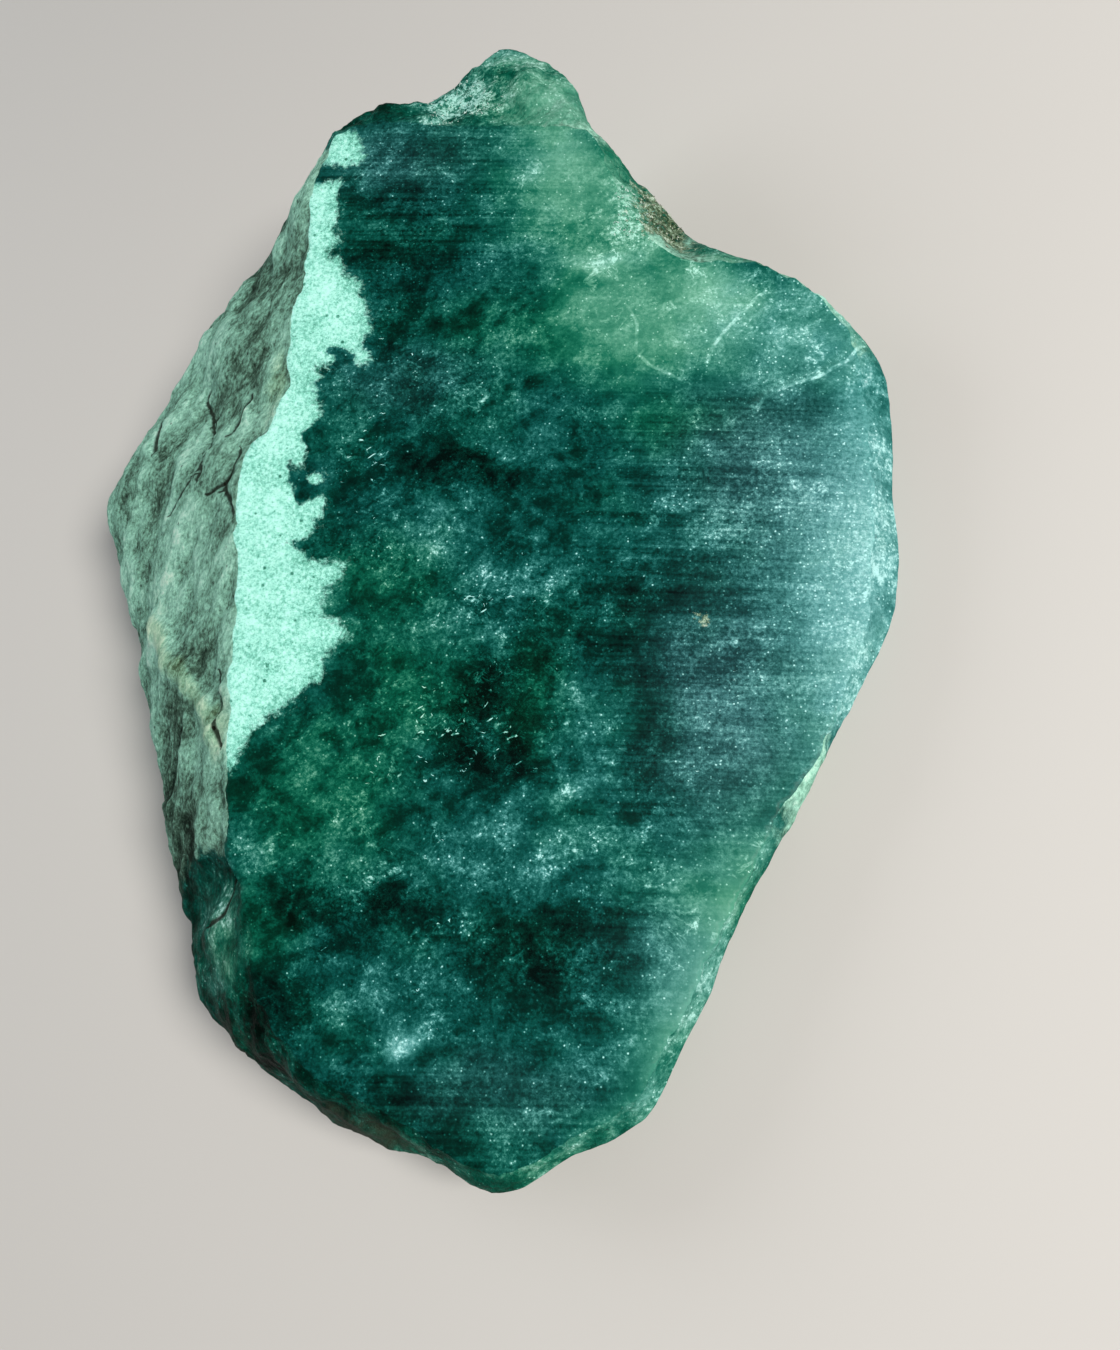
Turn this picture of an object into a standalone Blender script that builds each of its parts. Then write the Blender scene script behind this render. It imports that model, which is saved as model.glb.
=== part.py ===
"""Raw jade boulder: one piece of nephrite with a flat sawn face, its natural
rind, a broken top end and a worn underside that it rests on.

The stone is lofted through rings of points. Each column of the loft starts on
the rim of the sawn face, runs out over the rind to the stone's widest line,
and turns under it to the flat patch that touches the ground.
Lengths are in millimetres until the last step, which makes them metres.
"""

import math
from typing import NamedTuple

import bmesh
import bpy
from mathutils import Vector, noise
from mathutils.geometry import interpolate_bezier

MILLIMETRE = 0.001

# ---- driving dimensions -------------------------------------------------
STONE_LENGTH = 155.0          # along Y
STONE_WIDTH = 124.0           # along X

SAW_HEIGHT = 24.1             # height of the sawn plane over the origin
SAW_FALL = -0.274             # its slope along X: it falls to the thin side
SAW_RISE = 0.061              # its slope along Y: it rises to the top end

REST_CENTRE = (-5.0, -1.0)    # middle of the flat patch under the stone
REST_RADII = (23.0, 36.0)     # its half width and half length
REST_WAVES = ((2, 0.06, 0.6), (3, 0.09, 2.1), (5, 0.05, 4.0))

COLUMN_SPACING = 2.4          # distance between columns on the widest line
RIND_RINGS = 12
UNDER_RINGS = 10
RIND_ROUNDNESS = 1.3          # 1 is a straight slope, more turns down at its end
UNDER_FULLNESS = 0.95         # 1 is a round underside, less is a flatter one

RELIEF_RAMP = 3.0             # the relief grows from nothing over this length
GROUND_RAMP = 2.5             # and fades out below this height
LUMP_SIZE = 15.0
LUMP_HEIGHT = 0.8
GRAIN_SIZE = 5.0
GRAIN_HEIGHT = 0.45
GRAIN_STRETCH = 2.6           # the rind's grain is this much longer than wide
SCALE_SIZE = 17.0             # shallow scales broken from the underside
SCALE_DEPTH = 1.0             # depth of the creases between them
SCALE_CREASE = 0.35           # width of a crease, as a share of a scale
LEDGE_EASE = 2.2              # a ledge is this much wider on its easy side
THIN_EDGE_START = 30.0        # the stone is thin beyond this X
THIN_EDGE_RAMP = 15.0
THIN_EDGE_RELIEF = 0.35       # share of the relief that it takes there


class Station(NamedTuple):
    """A place on the outline: the sawn face's rim, and the widest line."""
    name: str
    saw: tuple
    wide: tuple


# Clockwise from the top end, seen from above.
STATIONS = (
    Station("saw stop, left", (-14.0, 59.5), (-14.5, 63.5, 30.0)),
    Station("saddle", (-0.5, 60.0), (-3.5, 68.5, 25.0)),
    Station("crown, left", (4.0, 60.0), (1.0, 75.5, 24.0)),
    Station("crown", (10.0, 60.0), (7.0, 77.5, 22.0)),
    Station("crown, right", (16.0, 60.0), (16.0, 69.0, 20.0)),
    Station("crown, foot", (18.0, 60.0), (17.5, 64.5, 19.5)),
    Station("saw stop, right", (20.0, 59.5), (21.0, 60.0, 19.0)),
    Station("ledge", (23.0, 54.5), (25.0, 56.0, 15.0)),
    Station("ledge, low", (25.5, 49.0), (32.5, 47.5, 12.0)),
    Station("hollow", (30.5, 41.5), (35.0, 45.5, 12.0)),
    Station("hollow end", (36.5, 39.0), (37.5, 43.0, 14.0)),
    Station("brow", (42.0, 39.5), (42.5, 41.0, 13.0)),
    Station("brow, low", (48.0, 37.0), (48.5, 37.5, 12.0)),
    Station("shoulder", (53.5, 32.0), (54.5, 32.0, 10.5)),
    Station("corner chip", (56.0, 28.0), (57.0, 29.5, 8.5)),
    Station("corner chip, low", (57.0, 23.0), (59.5, 24.5, 7.0)),
    Station("thin edge, top", (58.0, 16.0), (60.5, 17.5, 6.0)),
    Station("thin edge", (59.0, 8.0), (61.0, 9.0, 5.5)),
    Station("thin edge, middle", (59.0, 0.5), (62.0, 0.0, 5.0)),
    Station("thin edge, low", (59.0, -8.0), (61.5, -7.5, 5.0)),
    Station("thin edge, end", (57.0, -16.0), (58.0, -16.5, 5.5)),
    Station("flank", (55.0, -23.0), (55.5, -23.0, 6.0)),
    Station("flank, over the divot", (52.5, -28.5), (53.5, -28.5, 6.0)),
    Station("divot", (50.0, -32.0), (51.5, -32.0, 6.0)),
    Station("flank, under the divot", (48.0, -38.0), (48.5, -38.5, 6.0)),
    Station("flank, low", (44.5, -46.0), (45.5, -45.0, 6.0)),
    Station("flank, lower", (42.5, -52.5), (43.5, -52.5, 6.5)),
    Station("flank, end", (39.5, -59.0), (40.5, -60.0, 7.0)),
    Station("heel, right", (37.0, -65.0), (38.0, -66.5, 7.5)),
    Station("heel, middle", (33.5, -68.0), (34.5, -70.0, 8.0)),
    Station("heel", (30.5, -70.0), (30.5, -72.0, 9.0)),
    Station("toe, right", (25.5, -74.0), (24.5, -76.5, 10.0)),
    Station("toe", (22.0, -75.0), (20.0, -77.5, 10.0)),
    Station("toe, left", (16.5, -73.0), (14.5, -75.5, 10.0)),
    Station("low facet", (11.0, -70.5), (7.5, -75.0, 9.0)),
    Station("low facet, end", (2.0, -67.5), (-3.5, -72.5, 9.0)),
    Station("round side", (-4.0, -63.0), (-15.0, -67.5, 9.0)),
    Station("round side, end", (-7.5, -57.5), (-22.5, -63.0, 10.0)),
    Station("lump", (-8.5, -52.0), (-26.0, -56.5, 11.0)),
    Station("notch", (-10.5, -47.5), (-29.0, -50.5, 11.5)),
    Station("ridge, foot", (-12.5, -43.5), (-33.0, -42.5, 12.0)),
    Station("ridge, low", (-15.0, -34.0), (-40.0, -30.0, 12.0)),
    Station("ridge, under the knee", (-16.5, -19.0), (-49.0, -12.5, 12.0)),
    Station("knee", (-18.5, -4.0), (-59.0, 4.5, 13.0)),
    Station("belly corner", (-20.0, 6.5), (-62.0, 11.0, 13.5)),
    Station("belly", (-19.0, 10.0), (-61.0, 15.5, 14.0)),
    Station("ridge, bend", (-16.5, 12.5), (-56.5, 24.5, 15.0)),
    Station("ridge, over the bend", (-16.0, 22.0), (-50.5, 32.5, 16.0)),
    Station("ridge, high", (-16.5, 32.0), (-42.5, 41.5, 18.0)),
    Station("ridge, higher", (-16.5, 39.0), (-33.5, 51.0, 21.0)),
    Station("ridge, top", (-17.0, 47.5), (-26.5, 56.0, 25.0)),
    Station("ridge, end", (-16.0, 54.5), (-20.5, 59.0, 28.0)),
)


class Feature(NamedTuple):
    """A round swelling of the rock, or a hollow where height is negative."""
    name: str
    centre: tuple
    radius: float
    height: float


FEATURES = (
    Feature("lump at the foot of the ridge", (-19.0, -52.0, 17.0), 6.5, 1.6),
    Feature("swelling of the round side", (-12.0, -62.0, 14.0), 9.0, 1.2),
    Feature("shoulder of the belly", (-50.0, 17.0, 18.0), 11.0, 1.0),
    Feature("hollow of the belly", (-41.0, 4.0, 21.0), 9.0, -1.3),
    Feature("swelling of the upper rind", (-30.0, 30.0, 24.0), 10.0, 1.1),
    Feature("hollow under the upper rind", (-38.0, 24.0, 21.0), 6.0, -1.2),
    Feature("swelling of the low rind", (-30.0, -22.0, 20.0), 9.0, 0.9),
    Feature("rust hollow", (31.5, 45.0, 15.0), 4.5, -2.4),
    Feature("bowl of the saddle", (0.0, 65.0, 26.0), 5.0, -1.2),
    Feature("swelling of the crown", (9.0, 69.0, 23.5), 7.0, 0.8),
    Feature("pit in the rind", (-29.0, 12.0, 25.0), 2.4, -0.9),
    Feature("pit by the ridge", (-19.5, 16.5, 28.0), 2.2, -0.8),
)


class Ledge(NamedTuple):
    """A crack along two points: the rock beyond it lies a step lower."""
    name: str
    start: tuple
    end: tuple
    depth: float
    width: float


LEDGES = (
    Ledge("long crack", (-37.0, 27.0), (-33.5, 13.0), 1.1, 2.6),
    Ledge("long crack, low end", (-33.5, 13.0), (-47.0, 7.0), 0.9, 2.6),
    Ledge("crack by the ridge", (-21.5, 9.5), (-27.5, -1.0), 0.9, 2.4),
    Ledge("belly ledge", (-51.5, 25.5), (-57.0, 14.0), 0.8, 2.8),
    Ledge("notch at the foot", (-13.0, -46.5), (-24.0, -51.5), 1.7, 2.8),
    Ledge("crack in the low rind", (-22.5, -22.5), (-24.0, -33.0), 0.8, 2.4),
)


class Facet(NamedTuple):
    """A flat break: rock further out than its distance is planed off."""
    name: str
    facing: tuple
    distance: float


FACETS = (
    Facet("break under the belly", (-0.66, 0.10, -0.75), 33.5),
    Facet("break under the upper rind", (-0.36, 0.44, -0.82), 21.0),
    Facet("break under the top end", (0.20, 0.50, -0.84), 26.0),
    Facet("break under the low rind", (-0.42, -0.30, -0.86), 20.5),
    Facet("break under the foot", (-0.12, -0.52, -0.85), 31.5),
)

JADE_COLOUR = (0.020, 0.150, 0.110, 1.0)
JADE_ROUGHNESS = 0.42


# ---- the outline --------------------------------------------------------
def smooth_step(value):
    """Ease from 0 to 1 as value goes from 0 to 1."""
    value = min(max(value, 0.0), 1.0)
    return value * value * (3.0 - 2.0 * value)


def saw_height(x, y):
    """Height of the sawn plane over a point of the ground."""
    return SAW_HEIGHT + SAW_FALL * x + SAW_RISE * y


def curve_through(points, counts):
    """A closed smooth curve through points, with counts[i] steps after each."""
    total = len(points)
    curve = []
    for index in range(total):
        before, here = points[index - 1], points[index]
        after, later = points[(index + 1) % total], points[(index + 2) % total]
        reach = (after - here).length
        leave = tangent(before, here, after) * reach / 3.0
        arrive = tangent(here, after, later) * reach / 3.0
        steps = interpolate_bezier(here, here + leave, after - arrive, after, counts[index] + 1)
        curve.extend(steps[:-1])
    return curve


def tangent(before, here, after):
    """Direction of the outline at a point between two neighbours."""
    arriving = (here - before).normalized()
    leaving = (after - here).normalized()
    return (arriving + leaving).normalized()


def column_counts():
    """How many columns follow each station, from the widest line's length."""
    wide = [Vector(station.wide) for station in STATIONS]
    counts = []
    for index, point in enumerate(wide):
        following = wide[(index + 1) % len(wide)]
        counts.append(max(1, round((following - point).length / COLUMN_SPACING)))
    return counts


def rest_point(wide):
    """Where a column meets the edge of the flat patch under the stone."""
    angle = math.atan2((wide.y - REST_CENTRE[1]) / REST_RADII[1], (wide.x - REST_CENTRE[0]) / REST_RADII[0])
    swell = 1.0
    for waves, share, phase in REST_WAVES:
        swell += share * math.cos(waves * angle + phase)
    x = REST_CENTRE[0] + REST_RADII[0] * swell * math.cos(angle)
    y = REST_CENTRE[1] + REST_RADII[1] * swell * math.sin(angle)
    return Vector((x, y, 0.0))


# ---- the rings ----------------------------------------------------------
def rind_point(saw, wide, share):
    """A point between the sawn rim and the widest line, where it turns down."""
    point = saw.lerp(wide, 1.0 - (1.0 - share) ** RIND_ROUNDNESS)
    point.z = saw.z + (wide.z - saw.z) * share
    return point


def under_point(wide, rest, share):
    """A point under the stone, between the widest line and the flat patch."""
    turn = share * math.pi / 2.0
    inward = (1.0 - math.cos(turn)) ** UNDER_FULLNESS
    point = wide.lerp(rest, inward)
    point.z = wide.z * (1.0 - math.sin(turn) ** UNDER_FULLNESS)
    return point


def stone_rings():
    """All rings from the sawn rim to the flat patch, as lists of points."""
    counts = column_counts()
    saw_flat = [Vector((station.saw[0], station.saw[1], 0.0)) for station in STATIONS]
    saw_curve = curve_through(saw_flat, counts)
    saw_ring = [Vector((p.x, p.y, saw_height(p.x, p.y))) for p in saw_curve]
    wide_ring = curve_through([Vector(station.wide) for station in STATIONS], counts)
    rest_ring = [rest_point(wide) for wide in wide_ring]
    rings = [saw_ring]
    for ring in range(1, RIND_RINGS + 1):
        share = ring / RIND_RINGS
        rings.append([rind_point(saw, wide, share) for saw, wide in zip(saw_ring, wide_ring)])
    for ring in range(1, UNDER_RINGS):
        share = ring / UNDER_RINGS
        rings.append([planed(under_point(wide, rest, share)) for wide, rest in zip(wide_ring, rest_ring)])
    rings.append(rest_ring)
    return rings


# ---- the relief ---------------------------------------------------------
def planed(point):
    """Pull a point in to each flat break that it stands beyond."""
    for facet in FACETS:
        facing = Vector(facet.facing).normalized()
        beyond = facing.dot(point) - facet.distance
        if beyond > 0.0:
            point = point - facing * beyond
    return point


def feature_relief(point):
    """Height of the named swellings and hollows at a point."""
    height = 0.0
    for feature in FEATURES:
        distance = (point - Vector(feature.centre)).length
        height += feature.height * (1.0 - smooth_step(distance / feature.radius))
    return height


def ledge_relief(point):
    """Depth of the cracks at a point: sharp on one side, easy on the other."""
    depth = 0.0
    flat = Vector((point.x, point.y))
    for ledge in LEDGES:
        start, end = Vector(ledge.start), Vector(ledge.end)
        along = end - start
        share = min(max((flat - start).dot(along) / along.length_squared, 0.0), 1.0)
        offset = flat - start.lerp(end, share)
        side = along.normalized().cross(offset)
        reach = ledge.width if side > 0.0 else ledge.width * LEDGE_EASE
        depth -= ledge.depth * (1.0 - smooth_step(offset.length / reach))
    return depth


def rock_relief(point, underside):
    """Lumps and stretched grain of the rind, or scales on the underside."""
    lumps = LUMP_HEIGHT * noise.fractal(point / LUMP_SIZE, 1.0, 2.0, 2)
    if underside:
        nearest, second = noise.voronoi(point / SCALE_SIZE)[0][:2]
        return lumps - SCALE_DEPTH * (1.0 - smooth_step((second - nearest) / SCALE_CREASE))
    grained = Vector((point.x, point.y / GRAIN_STRETCH, point.z)) / GRAIN_SIZE
    return lumps + GRAIN_HEIGHT * noise.noise(grained)


def relief_share(point, saw):
    """How much of the relief a column's point takes."""
    ramp = smooth_step((point - saw).length / RELIEF_RAMP)
    thin = smooth_step((point.x - THIN_EDGE_START) / THIN_EDGE_RAMP)
    ground = smooth_step(point.z / GROUND_RAMP)
    return ramp * ground * (1.0 - (1.0 - THIN_EDGE_RELIEF) * thin)


def roughen(mesh, rings):
    """Raise and sink the rock's surface, leaving the sawn rim as it is."""
    mesh.normal_update()
    moves = []
    for column, rim in enumerate(rings[0]):
        saw = rim.co.copy()
        for index, ring in enumerate(rings[1:-1], start=1):
            vertex = ring[column]
            place = vertex.co.copy()
            underside = index > RIND_RINGS
            relief = rock_relief(place, underside) + feature_relief(place)
            if not underside:
                relief += ledge_relief(place)
            moves.append((vertex, vertex.normal * relief * relief_share(place, saw)))
    for vertex, move in moves:
        vertex.co += move
        vertex.co.z = max(vertex.co.z, 0.0)


# ---- the solid ----------------------------------------------------------
def loft(mesh, rings):
    """Join neighbouring rings of vertices with quads and cap both ends."""
    total = len(rings[0])
    for upper, lower in zip(rings, rings[1:]):
        for column in range(total):
            following = (column + 1) % total
            mesh.faces.new((upper[column], upper[following], lower[following], lower[column]))
    mesh.faces.new(list(reversed(rings[0])))
    mesh.faces.new(rings[-1])


def centre_on_footprint(mesh):
    """Put the middle of the stone's outline over the origin, resting at zero."""
    corners = [vertex.co for vertex in mesh.verts]
    low = Vector([min(corner[axis] for corner in corners) for axis in range(3)])
    high = Vector([max(corner[axis] for corner in corners) for axis in range(3)])
    middle = (low + high) / 2.0
    scale = Vector((STONE_WIDTH / (high.x - low.x), STONE_LENGTH / (high.y - low.y), 1.0))
    for vertex in mesh.verts:
        offset = vertex.co - Vector((middle.x, middle.y, low.z))
        vertex.co = offset * scale


def jade_material():
    """Frosted dark green jade."""
    material = bpy.data.materials.new("jade")
    material.use_nodes = True
    shader = material.node_tree.nodes["Principled BSDF"]
    shader.inputs["Base Color"].default_value = JADE_COLOUR
    shader.inputs["Roughness"].default_value = JADE_ROUGHNESS
    shader.inputs["Metallic"].default_value = 0.0
    return material


def build_boulder():
    """The whole stone as one closed solid."""
    mesh = bmesh.new()
    points = stone_rings()
    rings = [[mesh.verts.new(point) for point in ring] for ring in points]
    loft(mesh, rings)
    bmesh.ops.recalc_face_normals(mesh, faces=mesh.faces)
    roughen(mesh, rings)
    centre_on_footprint(mesh)
    bmesh.ops.scale(mesh, vec=Vector((MILLIMETRE,) * 3), verts=mesh.verts)
    bmesh.ops.triangulate(mesh, faces=mesh.faces)
    data = bpy.data.meshes.new("jade_boulder")
    mesh.to_mesh(data)
    mesh.free()
    boulder = bpy.data.objects.new("jade_boulder", data)
    boulder.data.materials.append(jade_material())
    bpy.context.scene.collection.objects.link(boulder)
    return boulder


def main():
    """Clear the scene and build the boulder."""
    for thing in list(bpy.data.objects):
        bpy.data.objects.remove(thing, do_unlink=True)
    build_boulder()


main()
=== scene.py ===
"""Raw jade boulder: a nephrite stone with one flat sawn face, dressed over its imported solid."""
import logging
import math
from collections.abc import Mapping, Sequence
from dataclasses import dataclass, field
from enum import Enum

import bmesh
import bpy
import numpy as np
from mathutils import Matrix, Vector, noise
from mathutils.geometry import delaunay_2d_cdt


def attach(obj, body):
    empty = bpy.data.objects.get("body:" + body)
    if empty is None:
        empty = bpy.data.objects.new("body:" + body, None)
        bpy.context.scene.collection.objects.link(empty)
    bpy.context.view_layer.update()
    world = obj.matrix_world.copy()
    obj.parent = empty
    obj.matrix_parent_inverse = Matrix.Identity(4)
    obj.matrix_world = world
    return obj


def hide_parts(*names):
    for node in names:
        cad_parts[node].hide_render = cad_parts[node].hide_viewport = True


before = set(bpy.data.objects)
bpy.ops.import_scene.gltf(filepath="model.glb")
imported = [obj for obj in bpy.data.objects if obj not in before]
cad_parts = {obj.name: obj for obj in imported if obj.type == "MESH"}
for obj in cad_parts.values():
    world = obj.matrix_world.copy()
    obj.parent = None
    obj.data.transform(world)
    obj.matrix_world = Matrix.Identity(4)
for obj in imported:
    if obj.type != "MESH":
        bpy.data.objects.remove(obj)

LOG = logging.getLogger("jade_boulder")

MM = 0.001                      # the frame is in metres, the sizes below in millimetres
NOISE_SEED = 1795472661         # unless one is set, the noise takes its seed from the clock
NODE = "jade_boulder"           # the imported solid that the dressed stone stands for
BODY = "root"
SAME_WAY = 0.9998               # normals whose product is above this lie in one plane
UPWARD = 0.9                    # a face whose normal rises more than this may be the sawn one
WELD_GAP = 0.002                # the solid's loose triangles are joined within this
PLANE_GAP = 0.03                # how far off its plane a corner of the sawn face may lie
PLANE_SPREAD = 0.1              # and how far while the plane is still being looked for

Point2 = tuple[float, float]
Point3 = tuple[float, float, float]
Colour = tuple[float, float, float]
Stops = tuple[tuple[float, Colour], ...]      # a ramp: places from 0 to 1 and their colours


# ======================================================================
# Node trees
# ======================================================================
class Value:
    """A number that varies over a surface: a node's output that Python arithmetic works on."""

    def __init__(self, bench: "Bench", socket: bpy.types.NodeSocket) -> None:
        """Wrap a socket.

        Args:
            bench: the tree that the socket belongs to.
            socket: an output that carries a number.
        """
        self.bench = bench
        self.socket = socket

    def maths(self, operation: str, *others: "Value | float") -> "Value":
        """Add a Math node.

        Args:
            operation: the node's operation.
            *others: its second and third operands.

        Returns:
            The node's result.
        """
        inputs = {0: self, **{place + 1: other for place, other in enumerate(others)}}
        made = self.bench.node("ShaderNodeMath", {"operation": operation}, inputs)
        return Value(self.bench, made.outputs[0])

    def __add__(self, other: "Value | float") -> "Value":
        """self + other."""
        return self.maths("ADD", other)

    __radd__ = __add__

    def __mul__(self, other: "Value | float") -> "Value":
        """self * other."""
        return self.maths("MULTIPLY", other)

    __rmul__ = __mul__

    def __sub__(self, other: "Value | float") -> "Value":
        """self - other."""
        return self.maths("SUBTRACT", other)

    def __rsub__(self, other: float) -> "Value":
        """other - self."""
        return self.maths("MULTIPLY", -1.0).maths("ADD", other)

    def __truediv__(self, other: "Value | float") -> "Value":
        """self / other."""
        return self.maths("DIVIDE", other)

    def __neg__(self) -> "Value":
        """-self."""
        return self.maths("MULTIPLY", -1.0)

    def clamped(self) -> "Value":
        """self held between 0 and 1."""
        return self.maths("MAXIMUM", 0.0).maths("MINIMUM", 1.0)

    def step(self, start: float, end: float) -> "Value":
        """Ease from 0 at start to 1 at end.

        Args:
            start: where the result is 0.
            end: where the result is 1; it may be less than start.

        Returns:
            The eased value.
        """
        swap = end < start
        settings = {"interpolation_type": "SMOOTHSTEP"}
        low, high = (end, start) if swap else (start, end)
        inputs = {"Value": self, "From Min": low, "From Max": high,
                  "To Min": 1.0 if swap else 0.0, "To Max": 0.0 if swap else 1.0}
        made = self.bench.node("ShaderNodeMapRange", settings, inputs)
        return Value(self.bench, made.outputs["Result"])


class Bench:
    """A node tree under construction."""

    def __init__(self, tree: bpy.types.NodeTree) -> None:
        """Wrap a tree.

        Args:
            tree: a shader tree or a Geometry Nodes tree.
        """
        self.tree = tree

    def node(self, kind: str, settings: Mapping[str, object] | None = None,
             inputs: Mapping[str | int, object] | None = None) -> bpy.types.Node:
        """Add a node.

        Args:
            kind: the node's type.
            settings: its properties, set first.
            inputs: values or links by socket name or place.

        Returns:
            The node.
        """
        made = self.tree.nodes.new(kind)
        for name, value in (settings or {}).items():
            setattr(made, name, value)
        for name, value in (inputs or {}).items():
            self.plug(made.inputs[name], value)
        return made

    def plug(self, socket: bpy.types.NodeSocket, value: object) -> None:
        """Set or link one input.

        Args:
            socket: the input.
            value: a Value, an output socket, a number or a sequence.
        """
        if isinstance(value, Value):
            self.tree.links.new(value.socket, socket)
        elif isinstance(value, bpy.types.NodeSocket):
            self.tree.links.new(value, socket)
        elif socket.type == "RGBA" and len(value) == 3:
            socket.default_value = (*value, 1.0)
        else:
            socket.default_value = value

    def vector(self, operation: str, *operands: object) -> bpy.types.NodeSocket:
        """Add a Vector Math node.

        Args:
            operation: the node's operation.
            *operands: vectors in order, or a vector and a scale for SCALE.

        Returns:
            The resulting vector.
        """
        places = (0, "Scale") if operation == "SCALE" else range(3)
        inputs = dict(zip(places, operands))
        return self.node("ShaderNodeVectorMath", {"operation": operation}, inputs).outputs[0]

    def mix(self, share: Value | float, first: object, second: object,
            blend: str = "MIX") -> bpy.types.NodeSocket:
        """Mix two colours.

        Args:
            share: 0 gives the first colour and 1 the second.
            first: a colour or a link to one.
            second: a colour or a link to one.
            blend: the node's blend type.

        Returns:
            The mixed colour.
        """
        settings = {"data_type": "RGBA", "blend_type": blend, "clamp_factor": True}
        inputs = {"Factor": share}
        made = self.node("ShaderNodeMix", settings, inputs)
        self.plug(made.inputs[6], first)
        self.plug(made.inputs[7], second)
        return made.outputs[2]

    def ramp(self, value: Value, stops: Sequence[tuple[float, Colour]]) -> bpy.types.NodeSocket:
        """Colour a value.

        Args:
            value: from 0 to 1.
            stops: places and colours in rising order.

        Returns:
            The colour.
        """
        made = self.node("ShaderNodeValToRGB", None, {"Fac": value})
        elements = made.color_ramp.elements
        while len(elements) < len(stops):
            elements.new(1.0)
        for element, (place, colour) in zip(elements, stops):
            element.position = place
            element.color = (*colour, 1.0)
        return made.outputs["Color"]

    def noise(self, where: bpy.types.NodeSocket, size: float, detail: float = 3.0,
              roughness: float = 0.55, distortion: float = 0.0) -> Value:
        """Cloudy noise.

        Args:
            where: coordinates in millimetres.
            size: its largest feature in millimetres.
            detail: the number of finer layers.
            roughness: how strong the finer layers are.
            distortion: how much it swirls.

        Returns:
            A value round 0.5.
        """
        inputs = {"Vector": where, "Scale": 1.0 / size, "Detail": detail,
                  "Roughness": roughness, "Distortion": distortion}
        made = self.node("ShaderNodeTexNoise", None, inputs)
        return Value(self, made.outputs[0])

    def ridges(self, where: bpy.types.NodeSocket, size: float, detail: float = 3.0) -> Value:
        """Noise with thin bright crests.

        Args:
            where: coordinates in millimetres.
            size: its largest feature in millimetres.
            detail: the number of finer layers.

        Returns:
            A value near 1 on a crest and near 0 away from it.
        """
        folded = (self.noise(where, size, detail, 0.6, 0.6) - 0.5).maths("ABSOLUTE")
        return folded.step(0.055, 0.0)

    def cells(self, where: bpy.types.NodeSocket, size: float,
              space: str = "3D") -> tuple[Value, Value]:
        """Scattered cells.

        Args:
            where: coordinates in millimetres.
            size: the distance between cells in millimetres.
            space: "3D", or "2D" for cells that go straight down through the plan.

        Returns:
            The distance to the nearest cell's middle, in cells, and that cell's random number.
        """
        inputs = {"Vector": where, "Scale": 1.0 / size}
        made = self.node("ShaderNodeTexVoronoi", {"voronoi_dimensions": space}, inputs)
        lot = self.node("ShaderNodeSeparateColor", None, {0: made.outputs["Color"]})
        return Value(self, made.outputs["Distance"]), Value(self, lot.outputs[0])

    def turned(self, where: bpy.types.NodeSocket, degrees: float, stretch: float,
               place: Point3 = (0.0, 0.0, 0.0)) -> bpy.types.NodeSocket:
        """Coordinates in which a pattern comes out long in one direction of the plan.

        Args:
            where: coordinates in millimetres.
            degrees: the long direction, from +X.
            stretch: how many times longer than wide a feature is.
            place: an offset, so that two patterns differ.

        Returns:
            The coordinates.
        """
        settings = {"vector_type": "POINT"}
        inputs = {"Vector": where, "Location": place,
                  "Rotation": (0.0, 0.0, -math.radians(degrees))}
        spun = self.node("ShaderNodeMapping", settings, inputs).outputs[0]
        return self.vector("MULTIPLY", spun, (1.0 / stretch, 1.0, 1.0))

    def drawn_out(self, where: bpy.types.NodeSocket, direction: Point3,
                  stretch: float) -> bpy.types.NodeSocket:
        """Coordinates in which a pattern comes out long in one direction.

        Args:
            where: coordinates in millimetres.
            direction: the long direction.
            stretch: how many times longer than wide a feature is.

        Returns:
            The coordinates.
        """
        lie = tuple(Vector(direction).normalized())
        along = self.node("ShaderNodeVectorMath", {"operation": "DOT_PRODUCT"}, {0: where, 1: lie})
        shift = Value(self, along.outputs["Value"]) * (1.0 / stretch - 1.0)
        return self.vector("ADD", where, self.vector("SCALE", lie, shift))


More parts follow.
